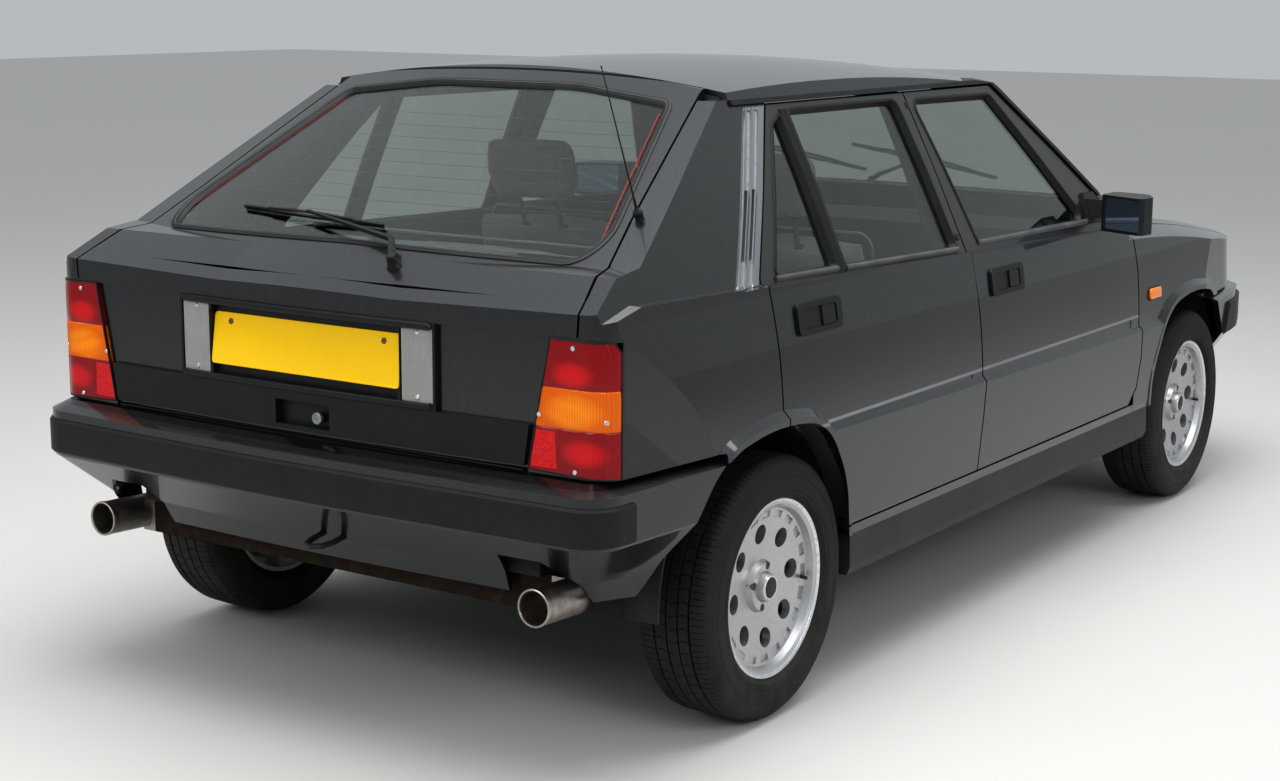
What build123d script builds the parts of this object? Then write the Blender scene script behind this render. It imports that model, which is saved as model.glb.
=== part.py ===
from build123d import *
from functools import lru_cache
import math
import os

os.makedirs("parts", exist_ok=True)

# Overall sizes in millimetres. Stations run forward from the rear axle, heights from the ground.
WHEELBASE = 2475.0
REFERENCE_WHEELBASE = 2475.0
BODY_WIDTH = 1620.0
REFERENCE_WIDTH = 1620.0
REAR_OVERHANG = 665.0
FRONT_OVERHANG = 755.0
TRACK = 1408.0
TYRE_DIAMETER = 578.0
TYRE_WIDTH = 186.0
RIM_DIAMETER = 390.0
ARCH_RADIUS = 345.0
PANEL_GAP = 5.0
SIDE_THICKNESS = 46.0
ROOF_THICKNESS = 24.0
DOOR_THICKNESS = 62.0
FRAME_THICKNESS = 30.0
GLASS_THICKNESS = 4.0
STEER_AXIS_Y = 580.0
DOOR_AXIS_Y = 792.0
FRONT_DOOR_AXIS = 1970.0
REAR_DOOR_AXIS = 925.0
TAILGATE_AXIS = (82.0, 1325.0)
BONNET_AXIS = (3097.0, 761.0)

LONG = WHEELBASE / REFERENCE_WHEELBASE
WIDE = BODY_WIDTH / REFERENCE_WIDTH
SHIFT = (REAR_OVERHANG - FRONT_OVERHANG - WHEELBASE) / 2
WHEEL_Z = TYRE_DIAMETER / 2
WHEEL_Y = TRACK / 2
SIDES = (1, -1)


# A station, a distance from the middle plane and a height, as a point in the frame
def at(x, y, z):
    return (SHIFT + x * LONG, y * WIDE, z)


# Block between two corners, measured from the rear axle
def box(x0, x1, y0, y1, z0, z1):
    low = Vector(*at(x0, y0, z0))
    high = Vector(*at(x1, y1, z1))
    size = high - low
    middle = (low + high) * 0.5
    return Pos(middle.X, middle.Y, middle.Z) * Box(abs(size.X), abs(size.Y), abs(size.Z))


# A closed outline of straight lines whose corners may be rounded: rows of a, b and a radius
def outline(rows, place):
    corners = []
    for row in rows:
        radius = row[2] if len(row) > 2 else 0.0
        corners.append((Vector(*place(row[0], row[1])), radius))
    starts = []
    for i, (here, radius) in enumerate(corners):
        before = corners[i - 1][0]
        after = corners[(i + 1) % len(corners)][0]
        if radius <= 0:
            starts.append((here, None, here))
            continue
        u = (before - here).normalized()
        v = (after - here).normalized()
        half = u.get_angle(v) / 2
        reach = radius / math.tan(math.radians(half))
        middle = (u + v).normalized() * (radius / math.sin(math.radians(half)) - radius)
        starts.append((here + u * reach, here + middle, here + v * reach))
    edges = []
    for i, (first, middle, last) in enumerate(starts):
        if middle is not None:
            edges.append(ThreePointArc(first, middle, last))
        following = starts[(i + 1) % len(starts)][0]
        if (following - last).length > 1e-6:
            edges.append(Line(last, following))
    return make_face(Wire(edges))


# The outline grown outwards by g: rows of two places and more
def grown(rows, g):
    out = []
    area = sum(rows[i - 1][0] * rows[i][1] - rows[i][0] * rows[i - 1][1] for i in range(len(rows)))
    turn = 1 if area > 0 else -1
    for i, row in enumerate(rows):
        before = rows[i - 1]
        after = rows[(i + 1) % len(rows)]
        ua = (row[0] - before[0], row[1] - before[1])
        ub = (after[0] - row[0], after[1] - row[1])
        la = math.hypot(*ua)
        lb = math.hypot(*ub)
        na = (turn * ua[1] / la, -turn * ua[0] / la)
        nb = (turn * ub[1] / lb, -turn * ub[0] / lb)
        k = g / (1 + na[0] * nb[0] + na[1] * nb[1])
        out.append((row[0] + k * (na[0] + nb[0]), row[1] + k * (na[1] + nb[1])) + tuple(row[2:]))
    return out


# Outline seen from the side, run across the car
def side_prism(rows, y0, y1):
    face = outline(rows, lambda x, z: at(x, y0, z))
    return extrude(face, amount=abs(y1 - y0) * WIDE, dir=(0, 1 if y1 > y0 else -1, 0))


# Outline seen from above, run upwards
def plan_prism(rows, z0, z1):
    face = outline(rows, lambda x, y: at(x, y, z0))
    return extrude(face, amount=z1 - z0, dir=(0, 0, 1))


# Outline seen from behind, run forward, with an optional fall
def end_prism(rows, x0, x1, fall=0.0):
    face = outline(rows, lambda y, z: at(x0, y, z))
    way = Vector((x1 - x0) * LONG, 0, fall)
    return extrude(face, amount=way.length, dir=way.normalized())


# Round bar between two points
def rod(p, q, radius):
    first = Vector(*at(*p))
    way = Vector(*at(*q)) - first
    plane = Plane(origin=first, z_dir=way.normalized())
    return plane * Pos(0, 0, way.length / 2) * Cylinder(radius, way.length)


# The same shape on the other side of the car
def flip(shape):
    return mirror(shape, about=Plane.XZ)


# A left shape together with its right twin
def both(shape):
    return shape + flip(shape)


# The left shape or its right twin
def pick(side, shape):
    return shape if side > 0 else flip(shape)


# The solid below a surface with two large radii, one along the car and one across it
def dome(x, z, along, across, reach, half=820.0, deep=500.0):
    drop = along and half * half / (2 * across)
    rows = [(-half, z - deep), (half, z - deep), (half, z - drop)]
    points = [Vector(*at(x, y, h)) for y, h in rows]
    left = Vector(*at(x, -half, z - drop))
    top = Vector(*at(x, 0, z))
    edges = [Line(points[0], points[1]), Line(points[1], points[2]), ThreePointArc(points[2], top, left),
             Line(left, points[0])]
    face = make_face(Wire(edges))
    centre = Vector(*at(x, 0, z - along))
    axis = Axis(centre, (0, 1, 0))
    angle = math.degrees(2 * reach / along)
    return revolve(face.rotate(axis, -angle / 2), axis, angle)


# Centre and radius of the circle through three points in plan
def circle_through(a, b, c):
    ax, az = a
    bx, bz = b
    cx, cz = c
    d = 2 * (ax * (bz - cz) + bx * (cz - az) + cx * (az - bz))
    sa = ax * ax + az * az
    sb = bx * bx + bz * bz
    sc = cx * cx + cz * cz
    x = (sa * (bz - cz) + sb * (cz - az) + sc * (az - bz)) / d
    z = (sa * (cx - bx) + sb * (ax - cx) + sc * (bx - ax)) / d
    return x, z, math.hypot(ax - x, az - z)


# A block whose end is a shallow arc in plan, carried up along a slope: the windscreen and tailgate planes
def curved_end(foot, top, bulge, direction, inset):
    half = 900.0
    crown = half * half / (2 * bulge)
    slope = Vector(top[0] - foot[0], 0, top[1] - foot[1])
    inward = -direction * inset * slope.length / abs(slope.Z)
    start = (foot[0] + inward - slope.X * 0.6, foot[1] - slope.Z * 0.6)
    back = start[0] - direction * 3600.0
    corner = start[0] - direction * crown
    points = [at(back, -half, start[1]), at(corner, -half, start[1]), at(start[0], 0, start[1]),
              at(corner, half, start[1]), at(back, half, start[1])]
    edges = [Line(points[0], points[1]), ThreePointArc(points[1], points[2], points[3]),
             Line(points[3], points[4]), Line(points[4], points[0])]
    face = make_face(Wire(edges))
    way = Vector(slope.X * LONG, 0, slope.Z)
    return extrude(face, amount=way.length * 2.4, dir=way.normalized())


BELT_START = 938.0
BELT_FALL = 0.0285
BONNET_LINE = ((2010.0, 905.0), (2575.0, 860.0), (3140.0, 765.0))
NOSE_LEAN = 0.19
NOSE_FOOT = 566.0
SCREEN_FOOT = (2030.0, 930.0)
SCREEN_TOP = (1538.0, 1297.0)
HATCH_FOOT = (-463.0, 1018.0)
HATCH_TOP = (118.0, 1345.5)


# Height of the line where the flank turns into the roof
def belt(x):
    return BELT_START - BELT_FALL * x


# The body seen from above, rounded, with every side moved in by d
def plan_rows(d):
    half = [(-606, 0, 8000), (-582, 757, 60), (-150, 806, 1500), (2450, 812, 1500), (2920, 752, 600),
            (3105, 690, 70), (3170, 0, 5500)]
    rows = half + [(x, -y, r) for x, y, r in half[1:-1]][::-1]
    return [(x, y, max(r - d, 5.0)) for x, y, r in grown(rows, -d)]


# Rows for one side, and the same rows mirrored after them
def two_sided(rows):
    other = [(-row[0],) + tuple(row[1:]) for row in rows[::-1] if abs(row[0]) > 0]
    return rows + other


# The bonnet surface, crowned along and across, with soft shoulders over the wings
def bonnet_crown(d):
    x, z, radius = circle_through(*BONNET_LINE)
    reach = 3400.0 - x
    crown = dome(x, z + radius - d, radius, 10950.0, reach, deep=900.0)
    return crown & dome(x, z + radius + 84 - d, radius + 84, 2000.0, reach, deep=900.0)


# The block behind the front face, which leans back above the bumper
def leaning_nose(d):
    face = outline(plan_rows(d), lambda x, y: at(x - NOSE_LEAN * (300 - NOSE_FOOT), y, 300))
    way = Vector(-NOSE_LEAN * LONG, 0, 1)
    return extrude(face, amount=way.length * 700, dir=way.normalized())


# The cross section of the body below the belt, with its faces moved in by d
def section_block(d):
    rows = [(796 - d, 330), (795 - d, 600, 1200), (787 - d, 770, 1800), (757 - d, 918), (752 - d, 1000)]
    return end_prism(two_sided(rows), -800, 3400)


# The body below the belt from the tail to the windscreen foot
@lru_cache(maxsize=None)
def flank(d):
    cabin = side_prism([(-760, 300), (1990, 300), (1990, belt(1990) - d), (-470, belt(-470) - d),
                        (-596, 925 - d), (-760, 925 - d)], -900, 900)
    return section_block(d) & plan_prism(plan_rows(d), 300, 1100) & cabin


# The body below the belt and the bonnet, with every face moved in by d
@lru_cache(maxsize=None)
def lower_body(d):
    nose = box(1989, 3300, -900, 900, 300, 1000) & bonnet_crown(d) & leaning_nose(d)
    return flank(d) + (section_block(d) & nose)


# Wheel arch outlines seen from the side, measured from the wheel's station
REAR_ARCH = [(-420, 200), (-420, 330), (-390, 430, 200), (-235, 618, 200), (-20, 655, 700), (180, 622, 170),
             (272, 480, 250), (286, 320), (286, 200)]
FRONT_ARCH = [(-352, 200), (-352, 330), (-345, 430, 200), (-225, 615, 200), (-20, 655, 700), (190, 622, 170),
              (300, 480, 250), (347, 320), (347, 200)]
ARCHES = {0.0: REAR_ARCH, 2475.0: FRONT_ARCH}


# Flare outline in a plane beside the flank
def arch_face(x, g, y):
    rows = [(x + row[0], row[1]) + tuple(max(r + g, 5.0) for r in row[2:]) for row in grown(ARCHES[x], g)]
    return outline(rows, lambda a, b: at(a, y, b))


# An opening through the side in the shape of the wheel arch, grown by g
def arch_hole(x, g, y0=500.0, y1=900.0):
    return extrude(arch_face(x, g, y0), amount=(y1 - y0) * WIDE, dir=(0, 1, 0))


# The proud lower flank with its ledge, and the wheel arch flares with their sloping tops
def low_flank():
    band = end_prism(two_sided([(798, 330), (806, 385), (808, 603), (795, 619)]), -100, 2700, -35.0)
    whole = band & box(0, 2475, -900, 900, 300, 700)
    for x in ARCHES:
        flare = loft([arch_face(x, 56, 764), arch_face(x, 14, 809)], ruled=True)
        flare = flare & box(x - 500, x + 500, 700, 900, 330, 900)
        whole = whole + both(flare)
    return whole & plan_prism(plan_rows(-10), 300, 1100)


ARCH_STATIONS = (-10.0, 2470.0)
ARCH_Z = WHEEL_Z + 12


# The glasshouse, with every face moved in by d
@lru_cache(maxsize=None)
def glasshouse(d):
    e = d * 1.1
    rows = [(766 - e, 860), (746 - e, 905), (658 - e, 1104, 3000), (562 - e, 1300, 30), (546 - e, 1336),
            (300, 1420)]
    section = end_prism(two_sided(rows), -800, 2300)
    roof = dome(614.0, 1380.0 - d, 9374.0, 3400.0, 2000.0, deep=700.0)
    screen = curved_end(SCREEN_FOOT, SCREEN_TOP, 3600.0, 1, d)
    slope = curved_end(HATCH_FOOT, HATCH_TOP, 3100.0, -1, d)
    shelf = side_prism([(-640, 850), (-300, 850), (-300, 1016 - d), (-400, 1013 - d), (-480, 1003 - d),
                        (-596, 938 - d), (-640, 912 - d)], -900, 900)
    plan = plan_prism(plan_rows(d), 800, 1500)
    return section & roof & screen & (slope + shelf) & plan


# Room for a turning wheel
def wheel_hole(x, radius, y0, y1):
    x0, _, z0 = at(x, 0, ARCH_Z)
    plane = Plane(origin=(x0, 0, z0), z_dir=(0, 1, 0))
    length = (y1 - y0) * WIDE
    return plane * Pos(0, 0, y0 * WIDE + length / 2) * Cylinder(radius, length)


# How far the skin stands from the middle plane at a height, used to lean the door edges
def skin_y(z):
    if z < 905:
        return 800.0 - max(0.0, z - 620) * 0.16
    return 746.0 - (z - 905) * 0.466


# A block through the side of the body whose edges may lean, so that the outer face is the wider
def leaning_prism(rows, y0=480.0, y1=840.0):
    faces = []
    for y in (y0, y1):
        points = [at(x + lean * (skin_y(z) - y), y, z) for x, z, lean in rows]
        faces.append(make_face(Wire.make_polygon([Vector(*p) for p in points], close=True)))
    return loft(faces, ruled=True)


# Door outlines: station, height, lean of the shut face
FRONT_DOOR = [(952, 372, 0.06), (975, 500, 0.06), (988, 620, 0.06), (984, 765, 0.06), (976, 905, 0.3),
              (958, 1292, 0.3), (1450, 1292, 0.0), (1850, 980, 0.0), (1935, 914, 0.0), (1988, 888, 0.0),
              (2016, 840, 0.0), (2030, 760, 0.0), (2030, 500, 0.0), (2006, 418, 0.0), (1950, 372, 0.0)]
REAR_DOOR = [(14, 372, 0.06), (14, 640, 0.06), (16, 790, 0.06), (12, 905, 0.1), (16, 948, 0.4),
             (296, 1292, 0.4), (952, 1292, 0.0), (970, 905, 0.0), (978, 765, 0.0), (982, 620, 0.0),
             (969, 500, 0.0), (946, 372, 0.0)]
FRONT_WINDOW = [(984, 1274, 25), (1430, 1270, 30), (1738, 918, 22), (1052, 926, 16)]
REAR_WINDOW = [(376, 1278, 20), (902, 1278, 25), (932, 922, 16), (376, 936, 12)]
QUARTER_LIGHT = [(340, 1272, 8), (340, 938, 12), (74, 944, 12), (290, 1250, 12)]
DOOR_TABLE = {"front": (FRONT_DOOR, FRONT_DOOR_AXIS, (FRONT_WINDOW,), 2030.0, 15.0),
              "rear": (REAR_DOOR, REAR_DOOR_AXIS, (REAR_WINDOW, QUARTER_LIGHT), 985.0, 6.0)}
HINGE_HEIGHTS = (430.0, 575.0)
# The tailgate's outline seen from behind: distance from the middle plane, height
GATE = [(570, 634), (620, 898), (684, 901), (687, 943), (672, 973), (655, 1003), (633, 1013), (597, 1090),
        (505, 1322), (500, 1400)]
# Its side edges along the sloping back: distance from the middle plane, distance up the slope
GATE_EDGE = [(760, -900), (760, -50), (690, -44), (672, 9), (655, 68), (633.5, 141), (597, 293), (505, 750),
             (495, 900)]
GATE_FRONT = 141.0
ROOF_REAR = 149.0
LAMP = [(573, 636), (624, 896), (800, 893), (800, 628)]
SCREEN = [(655, 962, 40), (522, 1280, 35), (250, 1306, 900)]
BACKLIGHT = [(0, 1022, 2500), (612, 1013, 45), (460, 1303, 40), (200, 1332, 900)]


# A block whose side faces stand square to the sloping back, so that what it bounds lifts off it freely
def slope_prism(rows):
    x0, _, z0 = at(0, 0, 0)
    plane = Plane(origin=(x0, 0, z0), x_dir=(0, 1, 0), z_dir=(-0.491, 0, 0.871))
    across = outline(rows, lambda y, s: (y * WIDE, -s, 0))
    return plane * extrude(across, 2000, both=True)


# A flat ring or disc turned about a crosswise line at a wheel
def turned(rows, x, z):
    face = outline(rows, lambda y, r: (at(x, y, z)[0], y, z + r))
    return revolve(face, Axis(at(x, 0, z), (0, 1, 0)), 360)


# Standing round bar
def upright(x, y, z0, z1, radius):
    return rod((x, y, z0), (x, y, z1), radius)


# Round bar across the car
def crosswise(x, z, y0, y1, radius):
    return rod((x, y0, z), (x, y1, z), radius)


# Skins of the three thicknesses that the panels are cut from
def body_shells():
    low = low_flank()
    outer = lower_body(0) + low + glasshouse(0)
    inner = {}
    walls = {"side": (SIDE_THICKNESS, SIDE_THICKNESS), "thin": (ROOF_THICKNESS, ROOF_THICKNESS),
             "door": (DOOR_THICKNESS, FRAME_THICKNESS), "gate": (34.0, 34.0)}
    for name, (below, above) in walls.items():
        cabin = box(-600 + below, 1988 - below, -680, 680, 340, 960) & plan_prism(plan_rows(below), 300, 1100)
        inner[name] = outer - (lower_body(below) + glasshouse(above) + cabin)
    return outer, inner


REAR_BUMPER = [(-660, 0, 7000), (-634, 770, 72), (-170, 806, 900), (300, 812, 0)]
REAR_VALANCE = {408: [(-565, 0, 7000), (-541, 672, 60), (-300, 778, 300), (300, 802, 0)],
                358: [(-540, 0, 7000), (-516, 650, 60), (-290, 770, 300), (300, 796, 0)]}
FRONT_BUMPER = [(2300, 812, 0), (2560, 812, 900), (2924, 774, 500), (3146, 706, 80), (3240, 0, 2500)]


# A bumper outline seen from above, from the rows of its left half, grown by g
def bumper_rows(half, g):
    if half[0][1] == 0:
        rows = half + [(x, -y, r) for x, y, r in half[1:]][::-1]
    else:
        rows = half + [(x, -y, r) for x, y, r in half[:-1]][::-1]
    return [(x, y, max(r + g, 5.0) if r else 0.0) for x, y, r in grown(rows, g)]


# Rear bumper outline in plan, grown by g
def rear_bumper_rows(g):
    return bumper_rows(REAR_BUMPER, g)


# Front bumper outline in plan, grown by g
def front_bumper_rows(g):
    return bumper_rows(FRONT_BUMPER, g)


# A solid through outlines seen from above, one at each height
def stack(levels):
    return loft([outline(rows, lambda x, y: at(x, y, z)) for z, rows in levels], ruled=True)


# Door on the left side: shell, windows, chamfered front edge, hinge slots and bores
def door(shell, name):
    rows, axis, windows, edge, lean = DOOR_TABLE[name]
    solid = (shell & leaning_prism(rows)) - box(-100, 2100, 0, 700, 300, 903)
    for window in windows:
        solid = solid - side_prism(window, 450, 850)
    solid = solid - plan_prism([(edge + 30, 772), (edge + 30, 500), (edge - 55, 500), (edge - 55, 730),
                                (edge - 40, 748)], 300, 900)
    solid = solid - wheel_hole(ARCH_STATIONS[0], ARCH_RADIUS, 500, 799.5) - arch_hole(0.0, 0)
    for z in HINGE_HEIGHTS:
        slot = box(axis - 17, edge + 30, 500, DOOR_AXIS_Y + 7.5, z - 13, z + 13)
        solid = solid - slot - upright(axis, DOOR_AXIS_Y, z - 40, z + 40, 5.2)
    return solid


# Glass of one door, set into its frame
def door_panes(pane, name):
    rows, axis, windows, edge, lean = DOOR_TABLE[name]
    solid = None
    for window in windows:
        one = pane & side_prism(window, 450, 850)
        solid = one if solid is None else solid + one
    return solid


# Hinge arms and pins that belong to the body side
def hinge_arms(name, post_y):
    rows, axis, windows, edge, lean = DOOR_TABLE[name]
    solid = None
    for z in HINGE_HEIGHTS:
        arm = plan_prism([(axis - 7, DOOR_AXIS_Y), (axis + 7, DOOR_AXIS_Y), (axis + 7 + lean, post_y),
                          (axis - 7 + lean, post_y)], z - 8, z + 8)
        knuckle = upright(axis, DOOR_AXIS_Y, z - 8, z + 8, 7.0)
        pin = upright(axis, DOOR_AXIS_Y, z - 38, z + 38, 5.0)
        one = arm + knuckle + pin
        solid = one if solid is None else solid + one
    return solid


# Fixed side panel with pillars, sill and rear quarter
def body_side(shell, openings, gate_hole, screen_hole):
    zone = side_prism([(-700, 345), (-700, 1308), (1800, 1308), (1988, 1100), (1988, 345)], 0, 900)
    zone = zone - box(-700, 1700, 0, 480, 1200, 1400) - box(-900, -232, 0, 900, 300, 628)
    zone = zone - box(-233, -160, 0, 900, 300, 609) - box(1850, 2100, 0, 640, 800, 965)
    solid = (shell & zone) - openings - end_prism(LAMP, -900, -540) - gate_hole - screen_hole
    solid = solid - wheel_hole(ARCH_STATIONS[0], ARCH_RADIUS, 500, 799.5) - arch_hole(0.0, 0)
    solid = solid - box(-900, -545, 0, 572, 300, 1000)
    solid = solid - side_prism(VENT, 480, 900)
    post_low = box(915, 985, 600, 684, 240, 900)
    pillar = side_prism([(915, 890), (985, 890), (975, 1330), (925, 1330)], 300, 800)
    post_high = (glasshouse(46) - glasshouse(62)) & pillar
    front_post = box(1935, 2056, 560, 690, 240, 833)
    sill = box(345, 2056, 690, 771, 236, 362)
    solid = solid + post_low + post_high + front_post + sill
    solid = solid + hinge_arms("front", 688) + hinge_arms("rear", 682)
    return solid


VENT = [(-2, 936), (284, 1290), (196, 1290), (-92, 936)]


# Tyre on the left side at a station
def tyre(x):
    half = TYRE_WIDTH / 2
    bead = RIM_DIAMETER / 2
    top = TYRE_DIAMETER / 2
    y = WHEEL_Y
    rows = [(y - half + 8, bead - 8), (y - half + 2, bead + 14, 20), (y - half, bead + 40, 60),
            (y - half + 10, top - 14, 26), (y - half + 30, top, 60), (y + half - 30, top, 60),
            (y + half - 10, top - 14, 26), (y + half, bead + 40, 60), (y + half - 2, bead + 14, 20),
            (y + half - 8, bead - 8)]
    return turned(rows, x, WHEEL_Z)


HOLE_COUNT = 8
HOLE_CIRCLE = 118.0
HOLE_RADIUS = 21.8
HOLE_START = 6.4
BOLT_ANGLES = (77.0, 167.0, 257.0, 347.0)
POCKETS = 20


# Wheel on the left side: barrel, dished disc with round holes, bolt recesses and a ring of shallow pockets
def rim(x):
    y = WHEEL_Y
    radius = RIM_DIAMETER / 2 - 8
    barrel = [(y - 78, radius), (y - 78, radius - 10), (y + 40, radius - 22), (y + 74, radius - 10),
              (y + 78, radius - 4), (y + 78, radius)]
    disc = [(y + 22, 30), (y + 22, 92), (y + 34, 140), (y + 40, radius - 16), (y + 60, radius - 12),
            (y + 54, 146), (y + 47, 96), (y + 43, 66), (y + 43, 58), (y + 56, 52), (y + 56, 34), (y + 50, 30),
            (y + 50, 22), (y + 22, 22)]
    solid = turned(barrel, x, WHEEL_Z) + turned(disc, x, WHEEL_Z) + crosswise(x, WHEEL_Z, y + 18, y + 58, 32)
    cuts = [crosswise(x, WHEEL_Z, y + 17, y + 45, 20.3)]
    for i in range(HOLE_COUNT):
        angle = math.radians(HOLE_START + 360 / HOLE_COUNT * i)
        place = (x + HOLE_CIRCLE * math.cos(angle), WHEEL_Z + HOLE_CIRCLE * math.sin(angle))
        cuts.append(crosswise(*place, y, y + 90, HOLE_RADIUS))
    for degrees in BOLT_ANGLES:
        angle = math.radians(degrees)
        cuts.append(crosswise(x + 46 * math.cos(angle), WHEEL_Z + 46 * math.sin(angle), y + 44, y + 70, 9))
    cx, _, cz = at(x, 0, WHEEL_Z)
    for i in range(POCKETS):
        turn = Rotation(0, 360 / POCKETS * i, 0)
        pocket = Pos(cx, (y + 60) * WIDE, cz) * turn * Pos(159, 0, 0) * Box(15, 14, 30)
        cuts.append(pocket)
    return solid - cuts


# Front wing with its flare, inner edge and stay
def wing(shell):
    zone = box(1990, 3300, 692, 900, 345, 1000)
    solid = (shell & zone) - leaning_prism(grown(FRONT_DOOR, 7.0))
    solid = solid + (lower_body(ROOF_THICKNESS) & box(2040, 2056, 690, 900, 380, 835))
    solid = solid + (lower_body(ROOF_THICKNESS) & box(2450, 2490, 700, 900, 690, 700))
    solid = solid - arch_hole(2475.0, 0, 738)
    solid = solid - wheel_hole(ARCH_STATIONS[1], ARCH_RADIUS + 41, 400, 739)
    return solid - box(2600, 3300, 0, 900, 300, 603)


HEAD_BAY = [(350, 606), (350, 714), (686, 714), (686, 606)]
BONNET_HINGES = (-160.0, 160.0)


# Bonnet skin with its ribs and hinge slots
def bonnet():
    skin = bonnet_crown(0) - bonnet_crown(ROOF_THICKNESS)
    solid = skin & leaning_nose(8) & box(2016, 3300, -687, 687, 600, 1000)
    x, z = BONNET_AXIS
    for y in BONNET_HINGES:
        solid = solid - box(x - 14, x + 40, y - 4, y + 4, 600, 1000) - crosswise(x, z, y - 24, y + 24, 4.2)
    return solid


# Front face panel with the lamp bays, the grille opening, bonnet hinge ears and bumper stays
def nose(shell):
    zone = box(3030, 3300, -687, 687, 603, 800)
    solid = (shell & zone) & bonnet_crown(ROOF_THICKNESS + 10)
    solid = solid - box(3000, 3300, -340, 340, 614, 704) - end_prism(HEAD_BAY, 3000, 3300)
    solid = solid - flip(end_prism(HEAD_BAY, 3000, 3300))
    solid = solid + (box(3040, 3176, -687, 687, 603, 613) & leaning_nose(ROOF_THICKNESS))
    stay = box(3040, 3300, 372, 424, 480, 540) & plan_prism(front_bumper_rows(-16.3), 480, 540)
    solid = solid + both(box(3040, 3060, 372, 424, 400, 603) + stay)
    x, z = BONNET_AXIS
    for y in BONNET_HINGES:
        rows = [(x - 7, 704), (x + 20, 704), (x + 7, z - 8), (x + 7, z + 4), (x, z + 7), (x - 7, z + 4)]
        ear = side_prism(rows, y - 3, y + 3)
        solid = solid + ear + crosswise(x, z, y - 22, y + 22, 4.0)
    return solid


# Rear bumper: a shelf on top, an upright face and a valance drawn in below, open inside
def rear_bumper():
    def level(z, g):
        return (z, bumper_rows(REAR_VALANCE[z], g))
    outside = stack([level(358, 0), level(408, 0), (500, rear_bumper_rows(-1)), (506, rear_bumper_rows(2)),
                     (604, rear_bumper_rows(2)), (624, rear_bumper_rows(-38))])
    inside = stack([(340, bumper_rows(REAR_VALANCE[358], -18)), (404, bumper_rows(REAR_VALANCE[408], -14)),
                    (496, rear_bumper_rows(-16)), (600, rear_bumper_rows(-16)), (628, rear_bumper_rows(-60))])
    solid = (outside - inside) & box(-700, -150, -900, 900, 300, 700)
    solid = solid - box(-232, 0, -900, 900, 604.5, 700)
    notch = end_prism(EXHAUST_NOTCH, -700, -400)
    return solid - both(notch + arch_hole(0.0, 0) + wheel_hole(ARCH_STATIONS[0], ARCH_RADIUS + 4, 500, 799.5))


EXHAUST_NOTCH = [(470, 330), (482, 410), (498, 452), (600, 452), (640, 418), (660, 395), (660, 330)]


# Front bumper with its foot and return edges
def front_bumper():
    faces = ((330, -90), (400, -50), (466, -2), (470, 2), (584, 2), (602, -48))
    hollows = ((318, -110), (398, -66), (468, -16), (580, -16), (606, -80))
    outside = stack([(z, front_bumper_rows(g)) for z, g in faces])
    inside = stack([(z, front_bumper_rows(g)) for z, g in hollows])
    solid = (outside - inside) & box(2640, 3300, -900, 900, 300, 700)
    return solid - both(arch_hole(2475.0, 0) + wheel_hole(ARCH_STATIONS[1], ARCH_RADIUS + 41, 400, 739))


# Rubber strip round a bumper, its edges chamfered and its ends slanted
def strip(rows, levels, zone):
    base = plan_prism(rows(2), levels[0][0] - 1, levels[-1][0] + 1)
    return (stack([(z, rows(g)) for z, g in levels]) - base) & side_prism(zone, -900, 900)


# Curved inner wall of a wheel well
def liner(x, radius, y0, y2):
    ring = wheel_hole(x, radius + 5, y0, y2) - wheel_hole(x, radius, y0 + 5, y2 + 1)
    return ring & box(x - 600, x + 600, -900, 900, 290, 1000)


# Floor, tunnel, boot well and rear panel in one piece
def floor_pan():
    solid = box(345, 1985, -690, 690, 225, 240)
    solid = solid + box(333, 345, -690, 690, 225, 330) + box(150, 345, -556, 556, 318, 330)
    solid = solid + box(150, 162, -556, 556, 330, 400) + box(-530, 162, -556, 556, 400, 412)
    solid = solid + box(-530, -518, -556, 556, 412, 470) + box(-585, -530, -556, 556, 458, 470)
    tunnel = box(330, 1985, -110, 110, 235, 345) - box(320, 2000, -98, 98, 200, 333)
    solid = (solid - box(320, 2000, -98, 98, 200, 333)) + tunnel
    stay = box(-700, -573, 300, 380, 500, 560) & plan_prism(rear_bumper_rows(-16.3), 300, 600)
    well = wheel_hole(ARCH_STATIONS[0], ARCH_RADIUS + 10, 556, 760)
    panel = box(-585, -573, -760, 760, 464, 628) & flank(10)
    solid = solid + (panel & plan_prism(rear_bumper_rows(-30), 300, 700))
    for side in SIDES:
        solid = (solid + pick(side, stay)) - pick(side, well)
    return solid


# Wall behind the engine with the two rails and the cross member ahead of it
def bulkhead():
    solid = box(1985, 1997, -560, 560, 225, 930) & lower_body(SIDE_THICKNESS + 0.3)
    solid = solid - box(1900, 2000, -98, 98, 200, 333)
    rail = box(1990, 3060, 372, 424, 345, 400)
    member = box(2430, 2520, 0, 424, 176, 200) + box(2430, 2520, 372, 424, 200, 345)
    for side in SIDES:
        solid = solid + pick(side, rail) + pick(side, member)
    return solid


# Inner walls of the four wheel wells
def wheel_liners():
    filler = wheel_hole(ARCH_STATIONS[0], ARCH_RADIUS + 10, 727, 770)
    filler = filler - wheel_hole(ARCH_STATIONS[0], ARCH_RADIUS + 5, 700, 800)
    filler = filler & flank(SIDE_THICKNESS) & box(-500, 5, 700, 800, 610, 900)
    rear = liner(ARCH_STATIONS[0], ARCH_RADIUS + 5, 556, 727) + filler
    front = liner(ARCH_STATIONS[1], ARCH_RADIUS + 36, 424, 738)
    return both(rear) + both(front)


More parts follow.
